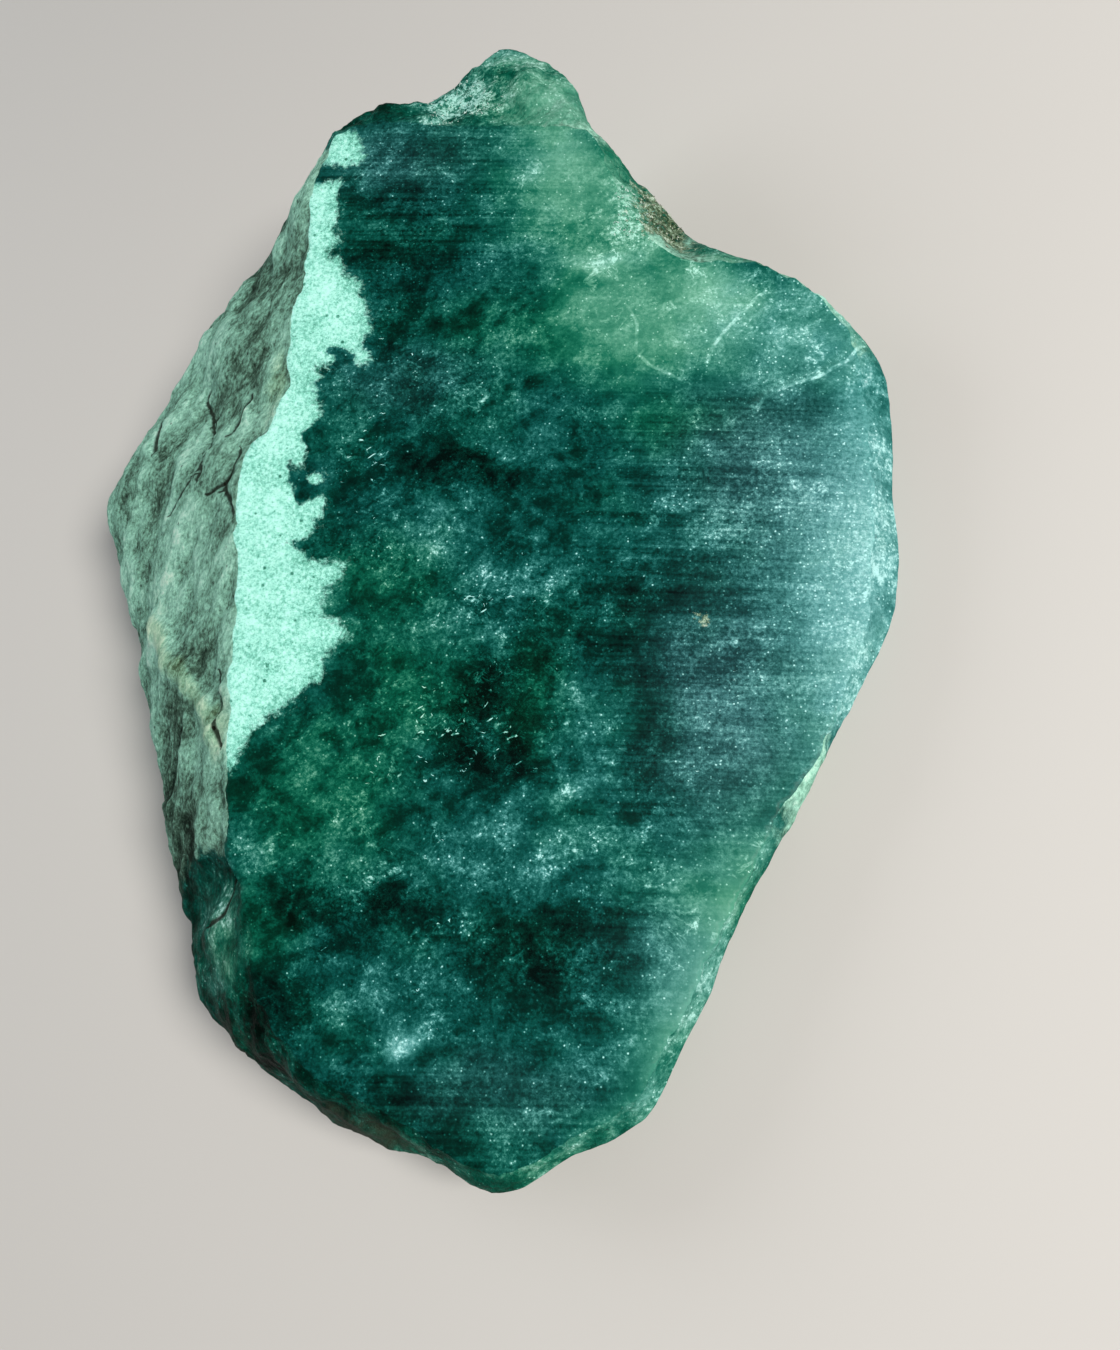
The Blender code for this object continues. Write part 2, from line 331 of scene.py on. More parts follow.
class ShaderBench(Bench):
    """A material's node tree."""

    def __init__(self, name: str) -> None:
        """Start a material with nothing but its output.

        Args:
            name: the material's name.
        """
        self.material = bpy.data.materials.new(name)
        self.material.use_nodes = True
        super().__init__(self.material.node_tree)
        self.tree.nodes.clear()
        self.output = self.node("ShaderNodeOutputMaterial")
        coordinates = self.node("ShaderNodeTexCoord").outputs["Object"]
        self.place = self.vector("SCALE", coordinates, 1.0 / MM)

    def attribute(self, name: str) -> Value:
        """A number that the mesh carries."""
        made = self.node("ShaderNodeAttribute", {"attribute_name": name})
        return Value(self, made.outputs["Fac"])

    def line(self, name: str, width: float) -> Value:
        """A thin line along paths whose distance and offset the mesh carries.

        Args:
            name: the distance's name.
            width: half the line's width in millimetres.

        Returns:
            1 on the line and 0 off it.
        """
        beside = self.attribute(name + "_side").maths("ABSOLUTE")
        return beside.step(width, width * 0.3) * self.attribute(name).step(1.2, 0.8)

    def axis(self, vector: bpy.types.NodeSocket, place: int) -> Value:
        """One number of a vector."""
        return Value(self, self.node("ShaderNodeSeparateXYZ", None, {0: vector}).outputs[place])

    def bump(self, height: Value, depth: float) -> bpy.types.NodeSocket:
        """A normal from a height.

        Args:
            height: a value between 0 and 1.
            depth: how deep 1 is, in millimetres.

        Returns:
            The normal.
        """
        inputs = {"Height": height, "Distance": depth * MM, "Strength": 1.0}
        return self.node("ShaderNodeBump", None, inputs).outputs[0]

    def surface(self, constants: Mapping[str, object],
                varied: Mapping[str, object]) -> bpy.types.NodeSocket:
        """A Principled surface.

        Args:
            constants: sockets that are the same all over.
            varied: sockets that a node feeds.

        Returns:
            The shader.
        """
        made = self.node("ShaderNodeBsdfPrincipled", None, {**constants, **varied})
        return made.outputs[0]

    def finish(self, shader: bpy.types.NodeSocket) -> bpy.types.Material:
        """Join a shader to the material's output and return the material."""
        self.plug(self.output.inputs["Surface"], shader)
        return self.material


# ======================================================================
# Measuring on the plan
# ======================================================================
def eased(values: np.ndarray, start: float, end: float) -> np.ndarray:
    """Ease from 0 at start to 1 at end.

    Args:
        values: any numbers.
        start: where the result is 0.
        end: where the result is 1; it may be less than start.

    Returns:
        The eased numbers.
    """
    share = np.clip((values - start) / (end - start), 0.0, 1.0)
    return share * share * (3.0 - 2.0 * share)


def distance_to_path(points: np.ndarray, path: np.ndarray, closed: bool = False) -> np.ndarray:
    """How far points lie from a path.

    Args:
        points: one row of coordinates for each point.
        path: the path's corners, with as many coordinates.
        closed: whether the last corner joins the first.

    Returns:
        One distance for each point.
    """
    corners = np.vstack([path, path[:1]]) if closed else np.asarray(path, float)
    nearest = np.full(len(points), np.inf)
    for start, end in zip(corners[:-1], corners[1:]):
        run = end - start
        share = np.clip((points - start) @ run / max(run @ run, 1e-12), 0.0, 1.0)
        gap = points - start - share[:, None] * run
        nearest = np.minimum(nearest, np.einsum("ij,ij->i", gap, gap))
    return np.sqrt(nearest)


def offset_from_paths(points: np.ndarray, paths: Sequence[Sequence[Point2]]) -> np.ndarray:
    """How far points lie beside the nearest of some open paths on the plan.

    Args:
        points: one row of x and y for each point.
        paths: each path's corners.

    Returns:
        One distance for each point, positive on a path's left and negative on its right.
    """
    nearest = np.full(len(points), np.inf)
    offset = np.zeros(len(points))
    for path in paths:
        for start, end in zip(np.array(path[:-1]), np.array(path[1:])):
            run = end - start
            share = np.clip((points - start) @ run / max(run @ run, 1e-12), 0.0, 1.0)
            gap = points - start - share[:, None] * run
            away = np.hypot(gap[:, 0], gap[:, 1])
            side = np.sign(run[0] * gap[:, 1] - run[1] * gap[:, 0])
            closer = away < nearest
            offset = np.where(closer, away * side, offset)
            nearest = np.where(closer, away, nearest)
    return offset


def inside(points: np.ndarray, outline: np.ndarray) -> np.ndarray:
    """Whether points lie inside an outline on the plan.

    Args:
        points: one row of x and y for each point.
        outline: the outline's corners.

    Returns:
        One truth for each point.
    """
    within = np.zeros(len(points), bool)
    x, y = points[:, 0], points[:, 1]
    for (x0, y0), (x1, y1) in zip(outline, np.roll(outline, -1, axis=0)):
        if y0 == y1:
            continue
        crosses = (y0 > y) != (y1 > y)
        within ^= crosses & (x < (x1 - x0) * (y - y0) / (y1 - y0) + x0)
    return within


def signed_distance(points: np.ndarray, outline: Sequence[Point2]) -> np.ndarray:
    """The distance to an outline's border, positive inside it."""
    corners = np.asarray(outline, float)
    gap = distance_to_path(points, corners, closed=True)
    return np.where(inside(points, corners), gap, -gap)


def warped(points: np.ndarray, size: float, reach: float, seed: float) -> np.ndarray:
    """Push points about, so that round patches come out ragged.

    Args:
        points: one row of x and y, or of x, y and z, for each point.
        size: the size of the swirls.
        reach: how far a point moves at most.
        seed: where in the noise to read.

    Returns:
        The pushed points.
    """
    pushed = points.copy()
    for row, point in enumerate(points):
        depth = point[2] / size if len(point) > 2 else 0.0
        swirl = noise.noise_vector((point[0] / size, point[1] / size, depth + seed))
        pushed[row] += reach * np.array(swirl[: len(point)])
    return pushed


# ======================================================================
# What is where on the stone
# ======================================================================
class Tone(Enum):
    """What a cloud in the sawn face does to its colour."""

    DEEP = "deep"
    GREEN = "green"
    HAZE = "haze"
    PALE = "pale"
    OLIVE = "olive"
    # painted sheen: the frosted face's greyish-violet reflection of the light
    SHEEN = "sheen"
    NEEDLES = "needles"


class Skin(Enum):
    """What covers a stretch of the natural outside."""

    FRESH = "fresh"        # worn down to clean jade
    # painted shade: darkens the rind and the worn sides
    DARK = "dark"
    GLASS = "glass"        # light yellow-green jade, thin enough to let light in, which is painted as a glow on the side
    TEAL = "teal"          # pale frosted jade, with a painted glow on the side
    BROWN = "brown"        # a thin brown film over the jade
    RUST = "rust"
    CRYSTAL = "crystal"
    # painted warm highlight where the rind's crests, ledges and rib catch the light
    WARM_HIGHLIGHT = "warm_highlight"


@dataclass(frozen=True)
class Cloud:
    """A soft patch in the sawn face, in millimetres on the plan."""

    name: str
    tone: Tone
    centre: Point2
    radii: Point2
    turn: float
    strength: float

    def weight(self, points: np.ndarray) -> np.ndarray:
        """How strongly the patch shows at each point of the plan."""
        across = points - np.array(self.centre)
        cosine, sine = math.cos(math.radians(self.turn)), math.sin(math.radians(self.turn))
        along = (across[:, 0] * cosine + across[:, 1] * sine) / self.radii[0]
        aside = (across[:, 1] * cosine - across[:, 0] * sine) / self.radii[1]
        return self.strength * np.exp(-0.75 * (along**2 + aside**2) ** 1.4)


@dataclass(frozen=True)
class SkinPatch:
    """A soft patch on the natural outside, in millimetres."""

    name: str
    skin: Skin
    centre: Point3
    radii: Point3
    strength: float

    def weight(self, points: np.ndarray) -> np.ndarray:
        """How strongly the patch shows at each point."""
        away = (points - np.array(self.centre)) / np.array(self.radii)
        return self.strength * np.exp(-0.75 * np.einsum("ij,ij->i", away, away) ** 1.4)


# Each row: name, middle, radii, turn in degrees and strength.
CLOUDS = tuple(Cloud(name, kind, *sizes) for kind, rows in {
    Tone.DEEP: (
        ("dark by the band", (-2.6, 30.7), (5.0, 10.5), 2, 0.5),
        ("dark above the pool", (4.8, 19.7), (7.8, 4.4), 3, 0.6),
        ("upper pool", (8.6, 8.3), (8.0, 2.8), -5, 1.0),
        ("pool beside the band", (-3.8, -3.5), (5.9, 2.4), -6, 0.8),
        ("middle", (28.1, -9.7), (12.9, 5.7), 10, 0.68),
        ("low streaks", (39.2, -16.1), (10.2, 1.7), 5, 0.6),
        ("lower pool", (14.8, -22.6), (5.9, 4.0), 16, 1.0),
        ("lower pool tail", (16.6, -28.2), (4.6, 2.4), 6, 0.85),
        ("beside the fan", (35.3, -27.6), (2.3, 7.0), 6, 0.7),
        ("lower middle", (25.5, -50.6), (10.5, 4.9), 7, 0.8),
        ("lower left", (3.4, -48.1), (8.8, 3.4), 7, 0.8),
        ("low corner", (-5.5, -61.8), (5.3, 4.4), -11, 0.9),
        ("foot", (13.9, -69.4), (6.5, 2.3), -11, 0.6),
        ("top band", (-1.5, 47.1), (9.6, 7.2), 1, 0.5),
        ("top streak", (-3.1, 38.4), (9.6, 2.5), 2, 0.6),
        ("right of the crack", (51.8, 19.6), (4.2, 1.8), 15, 0.7),
        ("shade on the ledge", (25.6, 53.6), (2.2, 6.0), 37, 0.6),
    ),
    Tone.GREEN: (
        ("green round the pit", (28.0, 46.0), (6.0, 6.0), 0, 0.8),
        ("green under the saddle", (17.6, 28.4), (10.3, 6.6), 2, 0.8),
        ("green by the crack", (37.0, 15.6), (9.6, 3.0), 3, 0.8),
        ("green by the left edge", (-4.4, -35.2), (9.3, 9.3), 6, 0.95),
        ("green lower left", (-7.2, -51.7), (4.5, 4.6), 7, 0.9),
        ("green by the pool", (7.6, -21.6), (7.8, 7.2), 5, 0.85),
        ("green beside the pool", (21.0, -22.0), (3.2, 6.5), 5, 0.6),
        ("green at the side", (48.0, -29.9), (6.5, 6.8), 6, 0.5),
        ("green middle", (1.5, -9.1), (7.5, 6.6), 4, 0.8),
        ("green peak", (10.0, 71.0), (8.0, 6.5), 0, 0.9),
    ),
    Tone.HAZE: (
        ("haze arch", (7.1, 16.9), (11.0, 3.1), -3, 0.8),
        ("haze arch right", (16.2, 11.0), (2.3, 5.6), 14, 0.5),
        ("haze left", (6.2, -1.4), (8.8, 3.4), 31, 0.8),
        ("haze diagonal", (18.4, -9.2), (13.2, 5.4), 17, 0.95),
        ("haze right", (30.8, 3.0), (12.0, 4.0), 4, 0.05),
        ("haze bar", (9.2, -15.1), (6.1, 2.1), 15, 0.7),
        ("fan", (29.5, -25.2), (3.4, 4.3), -5, 0.6),
        ("fan wing", (27.6, -31.7), (5.3, 1.4), 26, 1.0),
        ("haze low", (28.0, -38.1), (15.4, 3.6), 6, 0.9),
        ("haze low left", (5.8, -43.8), (7.0, 2.6), 21, 0.8),
        ("lower cloud", (0.7, -57.6), (6.4, 3.1), -7, 0.65),
        ("lower cloud tail", (9.0, -58.2), (6.3, 2.7), 17, 0.7),
        ("pale patch haze", (11.1, -62.8), (3.0, 1.6), 41, 0.6),
        ("low tail", (3.1, -65.1), (1.6, 1.5), 8, 0.8),
        ("bottom haze", (29.1, -67.3), (12.8, 2.2), 11, 0.1),
        ("top haze", (-0.6, 51.2), (13.8, 3.6), 1, 0.5),
        ("haze by the band", (-1.2, 24.6), (7.3, 2.1), 2, 0.4),
        ("haze under the green", (9.6, 23.6), (7.8, 3.7), 2, 0.5),
        ("haze middle", (18.3, 40.5), (7.9, 2.5), 1, 0.4),
        ("haze above the middle", (28.5, 13.8), (8.0, 4.0), 3, 0.3),
        ("right haze", (39.1, 2.9), (8.2, 2.6), 4, 0.2),
        ("low right haze", (34.0, -55.1), (7.5, 7.3), 7, 0.5),
        ("left speckle", (-9.5, -43.1), (2.7, 4.7), 6, 0.8),
        ("hazy peak", (7.5, 73.0), (8.5, 5.0), 0, 1.0),
        ("left wisps", (-1.5, -35.5), (5.5, 5.5), 30, 0.6),
        ("corner skirt", (-20.0, -49.0), (5.0, 5.0), 0, 0.5),
    ),
    Tone.PALE: (
        ("pale face", (57.0, -4.0), (8.2, 20.0), 4, 0.76),
        ("pale peak", (15.5, 69.0), (4.5, 6.0), 0, 0.5),
        ("lit peak", (7.0, 76.0), (8.5, 3.5), 0, 0.5),
        ("pale by the pit", (29.0, 42.5), (4.0, 2.6), -30, 0.2),
        ("pale corner", (47.0, 29.6), (9.4, 8.3), -21, 0.8),
        ("pale patch", (11.1, -62.9), (2.6, 1.2), 41, 0.85),
        ("pale fleck", (23.7, 39.4), (5.2, 2.1), 2, 0.5),
        ("pale top", (13.9, 57.1), (8.1, 4.1), 0, 0.35),
        ("pale fan", (29.8, -24.5), (2.8, 4.2), -5, 0.12),
        ("pale shoulder", (56.6, 22.0), (3.6, 11.0), 18, 0.45),
        ("pale low streaks", (44.0, -21.5), (6.5, 7.0), 5, 0.10),
        ("pale fan wing", (27.6, -31.7), (4.6, 1.0), 26, 0.30),
        ("pale edge", (50.5, -36.5), (1.1, 2.2), 6, 0.5),
        ("lifted low haze", (27.0, -38.5), (11.0, 3.0), 6, 0.18),
    ),
    Tone.OLIVE: (
        ("olive peak", (15.0, 63.5), (7.5, 4.5), 0, 0.7),
        ("yellow green top", (19.0, 50.9), (9.3, 10.1), -22, 1.0),
        ("yellow green middle", (29.7, 28.8), (9.6, 8.5), -15, 1.0),
        ("olive by the pit", (35.6, 34.9), (5.8, 3.6), -21, 1.0),
        ("olive under the pit", (37.0, 38.2), (7.0, 3.0), -24, 0.8),
        ("bright green", (24.0, 34.1), (6.2, 5.0), 2, 0.8),
    ),
    # painted sheen, where the frosted face reflects the light
    Tone.SHEEN: (
        ("sheen upper", (45.7, 10.0), (8.8, 10.5), 3, 0.9),
        ("sheen lower", (42.9, -19.7), (7.9, 13.0), 5, 1.0),
        ("sheen right", (55.0, -5.0), (8.0, 20.0), 4, 0.55),
        ("sheen middle", (40.0, -3.0), (8.0, 8.0), 4, 0.05),
        ("sheen low", (38.4, -50.1), (5.4, 6.4), 7, 0.4),
        ("sheen top", (-5.3, 54.4), (8.4, 5.8), 1, 0.5),
        ("sheen under", (-0.6, 20.2), (7.9, 4.4), 3, 0.3),
        ("sheen bottom", (22.0, -66.5), (10.0, 3.4), 8, 0.4),
    ),
    Tone.NEEDLES: (
        ("needles in the pool", (13.5, -25.0), (7.0, 6.0), 10, 1.0),
        ("needles under the pool", (5.5, -30.0), (5.0, 4.0), 0, 0.6),
        ("needles by the band", (-3.5, 8.0), (4.5, 9.0), 0, 0.5),
        ("needles at the hook", (-3.0, 24.0), (4.5, 5.0), 0, 0.5),
        ("needles in the middle", (14.0, -9.0), (8.0, 5.0), 20, 0.4),
        ("needles low", (10.0, -47.0), (12.0, 8.0), 20, 0.25),
    ),
}.items() for name, *sizes in rows)

# Each row: name, middle, radii and strength.
SKIN_PATCHES = tuple(SkinPatch(name, kind, *sizes) for kind, rows in {
    Skin.FRESH: (
        ("worn side at the foot", (-8.0, -62.0, 15.0), (19.0, 15.0, 18.0), 1.0),
        ("worn corner", (-20.0, -51.0, 13.0), (9.0, 8.0, 13.0), 1.0),
        ("worn end", (10.0, -75.0, 8.0), (18.0, 10.0, 16.0), 1.0),
        ("worn crown", (1.0, 68.0, 24.0), (22.0, 11.0, 14.0), 1.0),
        ("worn crown, left", (-13.0, 61.5, 29.0), (8.0, 4.0, 9.0), 1.0),
        ("worn ledge", (28.0, 52.0, 14.0), (8.0, 9.0, 9.0), 1.0),
    ),
    # painted shade, most on the rind and towards the foot
    Skin.DARK: (
        ("dark side at the foot", (-8.5, -65.0, 13.0), (10.0, 8.0, 13.0), 1.0),
        ("dark foot of the rind", (-28.0, -41.5, 17.0), (11.0, 13.0, 13.0), 1.0),
        ("dark upper rind", (-25.0, 38.0, 26.0), (13.0, 19.0, 14.0), 0.5),
        ("dark low rind", (-32.0, -16.0, 21.0), (12.0, 10.0, 8.0), 0.15),
        ("dark facet", (6.0, -70.3, 17.0), (7.0, 4.0, 4.0), 0.6),
        ("dark crown band", (-11.0, 61.8, 29.0), (7.0, 3.0, 6.0), 0.6),
    ),
    Skin.TEAL: (
        ("frosted corner", (-21.5, -48.5, 16.0), (3.6, 3.6, 6.0), 0.35),
        ("frosted side", (60.5, 4.0, 5.0), (8.0, 32.0, 10.0), 1.0),
    ),
    Skin.GLASS: (
        ("glassy end", (27.0, -74.0, 8.0), (14.0, 7.0, 9.0), 0.8),
        ("glassy lower side", (43.0, -52.0, 5.0), (12.0, 24.0, 10.0), 0.9),
        ("glassy shoulder", (47.0, 38.0, 9.0), (16.0, 9.0, 9.0), 1.0),
        ("glassy ledge", (22.0, 60.0, 18.0), (7.0, 7.0, 8.0), 0.15),
        ("pale skirt", (-14.5, -54.8, 18.5), (5.5, 4.5, 6.5), 1.0),
    ),
    Skin.BROWN: (
        ("brown facet", (4.0, -73.0, 12.0), (8.5, 5.0, 5.0), 0.9),
    ),
    Skin.CRYSTAL: (
        ("gap crystals", (1.8, 66.2, 25.0), (5.6, 4.0, 5.0), 1.0),
        ("lip crystals, high", (22.0, 55.2, 21.5), (1.5, 2.6, 2.0), 0.12),
        ("lip crystals", (24.6, 50.6, 20.5), (1.5, 2.6, 2.0), 0.15),
        ("lip crystals, low", (28.4, 44.6, 18.5), (3.6, 3.2, 3.0), 0.5),
        ("crystals round the pit", (26.8, 49.2, 18.3), (3.4, 3.2, 3.6), 0.35),
    ),
    Skin.RUST: (
        ("rusty pit", (30.3, 46.4, 15.6), (3.8, 3.6, 5.2), 0.9),
        ("rusty pit, high", (28.2, 50.8, 15.8), (2.4, 3.2, 3.6), 0.6),
        ("rusty pit, right", (33.2, 43.4, 14.6), (3.4, 2.6, 3.6), 0.6),
        ("rusty fleck on the face", (40.4, -8.7, 12.5), (1.15, 0.9, 2.0), 0.56),
        ("rusty fleck on the belly", (-61.0, -1.0, 10.0), (1.6, 1.2, 3.0), 1.0),
    ),
    # painted warm highlights on the rind's crests, ledges and rib
    Skin.WARM_HIGHLIGHT: (
        ("yellow cleft", (-17.5, -28.5, 25.5), (2.6, 6.5, 4.0), 0.8),
        ("highlit ledge", (-22.0, -27.0, 24.0), (4.0, 4.0, 3.0), 0.55),
        ("highlit crest", (-19.4, 19.0, 29.0), (3.0, 8.0, 4.0), 0.7),
        ("highlit low crest", (-20.5, 4.0, 28.5), (2.4, 5.0, 4.0), 0.5),
        ("highlit belly", (-40.0, -6.0, 20.0), (10.0, 9.0, 8.0), 0.35),
    ),
}.items() for name, *sizes in rows)

BAND_BORDER = (
    (-14.9, 50.6), (-13.6, 50.7), (-12.9, 45.1), (-13.7, 43.5), (-12.2, 41.1), (-13.3, 39.5),
    (-9.5, 35.4), (-7.4, 32.5), (-6.1, 28.2), (-7.0, 26.1), (-5.3, 22.1), (-7.9, 23.1),
    (-12.7, 21.7), (-12.0, 19.2), (-10.5, 14.3), (-11.9, 11.7), (-10.3, 7.0), (-8.6, 5.4),
    (-8.9, -2.0), (-11.2, -3.6), (-9.1, -6.0), (-4.4, -6.2), (-4.7, -8.3), (-6.5, -10.0),
    (-6.0, -12.8), (-2.5, -15.0), (-5.1, -18.5), (-5.0, -21.0), (-10.2, -26.1), (-12.3, -27.9),
    (-14.2, -33.2),
)
BAND_OUTSIDE = ((-42.0, -36.0), (-42.0, 46.0))
BAND_WINDOWS = (                 # dark jade that shows through the band: a middle and a radius
    ((-15.0, 7.6), 1.7), ((-12.6, 5.4), 2.2), ((-11.2, 3.2), 1.6),
    ((-10.3, 10.4), 1.8), ((-16.8, 29.8), 1.3), ((-9.6, 24.3), 1.6),
)
TOP_PATCH = ((-14.4, 59.7), (-12.8, 58.7), (-10.6, 56.7), (-11.0, 54.5), (-13.2, 53.5),
             (-16.9, 54.3), (-26.0, 55.5), (-26.0, 60.5))

VEINS = (
    ((43.9, 34.3), (41.9, 31.3), (40.1, 28.6), (39.1, 26.7), (38.4, 25.1)),
    ((27.8, 32.4), (29.4, 30.3), (29.5, 25.6), (31.3, 23.8), (35.9, 21.5)),
    ((36.1, 24.6), (36.2, 22.7)),
)
STEPPED_CRACK = ((44.6, 17.5), (45.3, 19.4), (46.3, 20.4), (49.1, 22.1), (52.1, 23.2),
                 (53.8, 24.5), (55.7, 25.9), (56.7, 27.7))

RIND_CRACKS = (
    ((-35.5, 27.0), (-38.0, 25.0), (-37.4, 22.8), (-33.4, 18.6), (-30.8, 13.1), (-31.2, 10.1),
     (-33.3, 8.8), (-36.2, 5.7), (-38.2, 4.3)),
    ((-33.4, 18.6), (-31.8, 18.9)),
    ((-30.6, 10.1), (-31.0, 7.9)),
    ((-23.3, 10.6), (-23.3, 7.5), (-23.6, 5.9), (-24.9, 5.2), (-22.8, 2.8), (-20.7, 0.4)),
    ((-24.3, 5.4), (-26.0, 5.1), (-28.0, 4.7)),
    ((-48.4, 24.2), (-47.2, 20.4), (-46.6, 16.1)),
    ((-24.2, 18.9), (-25.5, 15.9), (-26.2, 14.0)),
    ((-19.4, -21.5), (-18.4, -26.7), (-16.8, -30.4)),
    ((-18.8, -52.4), (-15.7, -51.0), (-15.1, -47.8), (-14.6, -46.2)),
)
RIND_RIB = ((-39.6, -11.5), (-33.7, -16.9), (-27.6, -21.2), (-23.0, -24.8), (-18.8, -28.5))


# ======================================================================
# Finishes
# ======================================================================
@dataclass(frozen=True)
class JadeBody:
    """The colour of clean jade: dark and clouded, with fibres and glints inside it, and a painted
    sheen and painted edge glow on it.
    """

    teal: Stops = (
        (0.00, (0.0000, 0.0045, 0.0035)),
        (0.22, (0.0002, 0.0260, 0.0190)),
        (0.42, (0.0022, 0.0720, 0.0610)),
        (0.55, (0.0105, 0.1160, 0.1020)),
        (0.68, (0.0340, 0.2000, 0.1800)),
        (0.82, (0.1100, 0.3600, 0.3450)),
        (1.00, (0.4200, 0.7800, 0.7600)),
    )
    green: Stops = (
        (0.00, (0.0000, 0.0050, 0.0020)),
        (0.22, (0.0002, 0.0330, 0.0170)),
        (0.42, (0.0016, 0.0930, 0.0530)),
        (0.55, (0.0110, 0.1560, 0.0930)),
        (0.68, (0.0600, 0.2640, 0.1700)),
        (0.82, (0.1550, 0.4150, 0.2950)),
        (1.00, (0.4200, 0.7800, 0.6500)),
    )
    # painted sheen: the colours of the frosted face's reflection
    sheen: Stops = (
        (0.00, (0.0040, 0.0130, 0.0160)),
        (0.35, (0.0110, 0.0520, 0.0580)),
        (0.52, (0.0320, 0.1180, 0.1270)),
        (0.68, (0.0740, 0.2250, 0.2350)),
        (0.84, (0.1750, 0.4100, 0.4150)),
        (1.00, (0.4800, 0.8200, 0.8200)),
    )

    base_level: float = 0.345        # plain jade; the next ones are what each tone adds
    haze_lift: float = 0.20
    deep_drop: float = 0.25
    pale_lift: float = 0.42
    olive_lift: float = 0.335
    band_lift: float = 0.12
    sheen_lift: float = 0.185
    # painted glow: how much the thin edge's glow lightens the jade
    painted_glow_lift: float = 0.31
    speck_strength: float = 1.40
    grain_strength: float = 0.32

    def colour(self, bench: ShaderBench, specks: Value) -> bpy.types.NodeSocket:
        """Colour the jade.

        Args:
            bench: the material's tree.
            specks: the jade's finest grain.

        Returns:
            The colour.
        """
        level = self.level(bench, specks)
        drift = bench.noise(bench.place, 13.0, 3.0, 0.6).step(0.42, 0.62) * 0.3
        greenness = bench.attribute("green") + bench.attribute("olive") + drift
        stone = bench.mix(greenness.clamped(), bench.ramp(level, self.teal),
                          bench.ramp(level, self.green))
        # painted sheen laid over the jade's colour
        painted_sheen = bench.attribute("sheen") * 0.85
        return bench.mix(painted_sheen, stone, bench.ramp(level, self.sheen))

    def level(self, bench: ShaderBench, specks: Value) -> Value:
        """How light the jade is.

        Args:
            bench: the material's tree.
            specks: its finest grain.

        Returns:
            A value between 0 and 1 for the ramps.
        """
        spot = bench.place
        haze = bench.attribute("haze")
        pale = bench.attribute("pale")
        olive = bench.attribute("olive")
        crystal = bench.attribute("crystal")
        streaked = bench.attribute("streaked")
        clouds = bench.noise(spot, 10.0, 6.0, 0.62, 0.5) - 0.5
        wisps = bench.noise(bench.turned(spot, 24.0, 1.2), 4.2, 8.0, 0.70, 0.3)
        wisps = wisps.step(0.30, 0.70) - 0.5
        mist = (bench.noise(spot, 1.6, 6.0, 0.80, 0.2) - 0.5) * (1.25 - streaked * 0.35)
        thin = bench.attribute("thin")
        calm = (1.0 - pale * 0.55 - olive * 0.60 - streaked * 0.25 - thin * 0.6).clamped()
        deep = bench.attribute("deep")
        frosted = (bench.attribute("sheen") + pale * 0.5).clamped()
        drifts = clouds * (0.66 - deep * 0.35 - frosted * 0.24)
        body = (drifts + wisps * (0.46 - frosted * 0.12) + mist * (0.40 - frosted * 0.16)) * calm
        body = body + bench.attribute("shade") + self.base_level
        body = body + haze * self.haze_lift - deep * self.deep_drop
        body = body + pale * self.pale_lift + olive * self.olive_lift
        body = body + bench.attribute("mint").step(-2.6, 0.2) * self.band_lift
        # painted light: the painted sheen and the thin edge's painted glow lighten the jade
        body = body + bench.attribute("sheen") * self.sheen_lift + thin * self.painted_glow_lift
        lively = clouds * 1.2 + wisps * 0.7 + mist * 1.0 + haze * 0.35 + crystal * 0.8 + 0.42
        lively = (lively + bench.attribute("sheen") * 0.45).clamped() * 0.85 + 0.15
        even = (bench.attribute("sheen") * 0.5 + pale * 0.35).clamped()
        lively = lively * (1.0 - even) + even * 0.8
        smooth = thin * 0.8 + olive * 0.5 + bench.attribute("green") * 0.2
        lively = lively * (1.0 - smooth.clamped())
        grain = bench.noise(spot, 0.75, 3.0, 0.7) - 0.5
        fine = grain * self.grain_strength + (specks - 0.5) * self.speck_strength
        body = body + fine * lively * (1.0 - pale * 0.4)
        sugar = (bench.noise(spot, 0.9, 4.0, 0.8).step(0.46, 0.60) * 0.50 + 0.22) * crystal
        plain = (pale * 0.75 + thin * 0.8).clamped()
        body = body + sugar + self.streaks(bench) * (1.0 - plain)
        return (body + self.snow(bench, lively) + self.fibres(bench) + self.veins(bench)).clamped()

    def snow(self, bench: ShaderBench, lively: Value) -> Value:
        """Tiny bright grains, thickest where the jade is cloudy.

        Args:
            bench: the material's tree.
            lively: where the jade is cloudy.

        Returns:
            What they add to the jade's lightness.
        """
        total: Value | float = 0.0
        coarse = bench.attribute("sheen") * 0.7 + bench.attribute("olive") * 0.6
        coarse = (1.0 - coarse.clamped()) * 0.48
        for row, (size, width, strength) in enumerate(((0.50, 0.32, 0.34), (0.85, 0.21, coarse))):
            away, lot = bench.cells(bench.vector("ADD", bench.place, (5.0 * row, 2.0, 1.0)), size)
            bright = (lot + lively * 0.36 - 0.68).clamped() * 2.2
            total = away.step(width, width * 0.3) * bright * strength + total
        return total

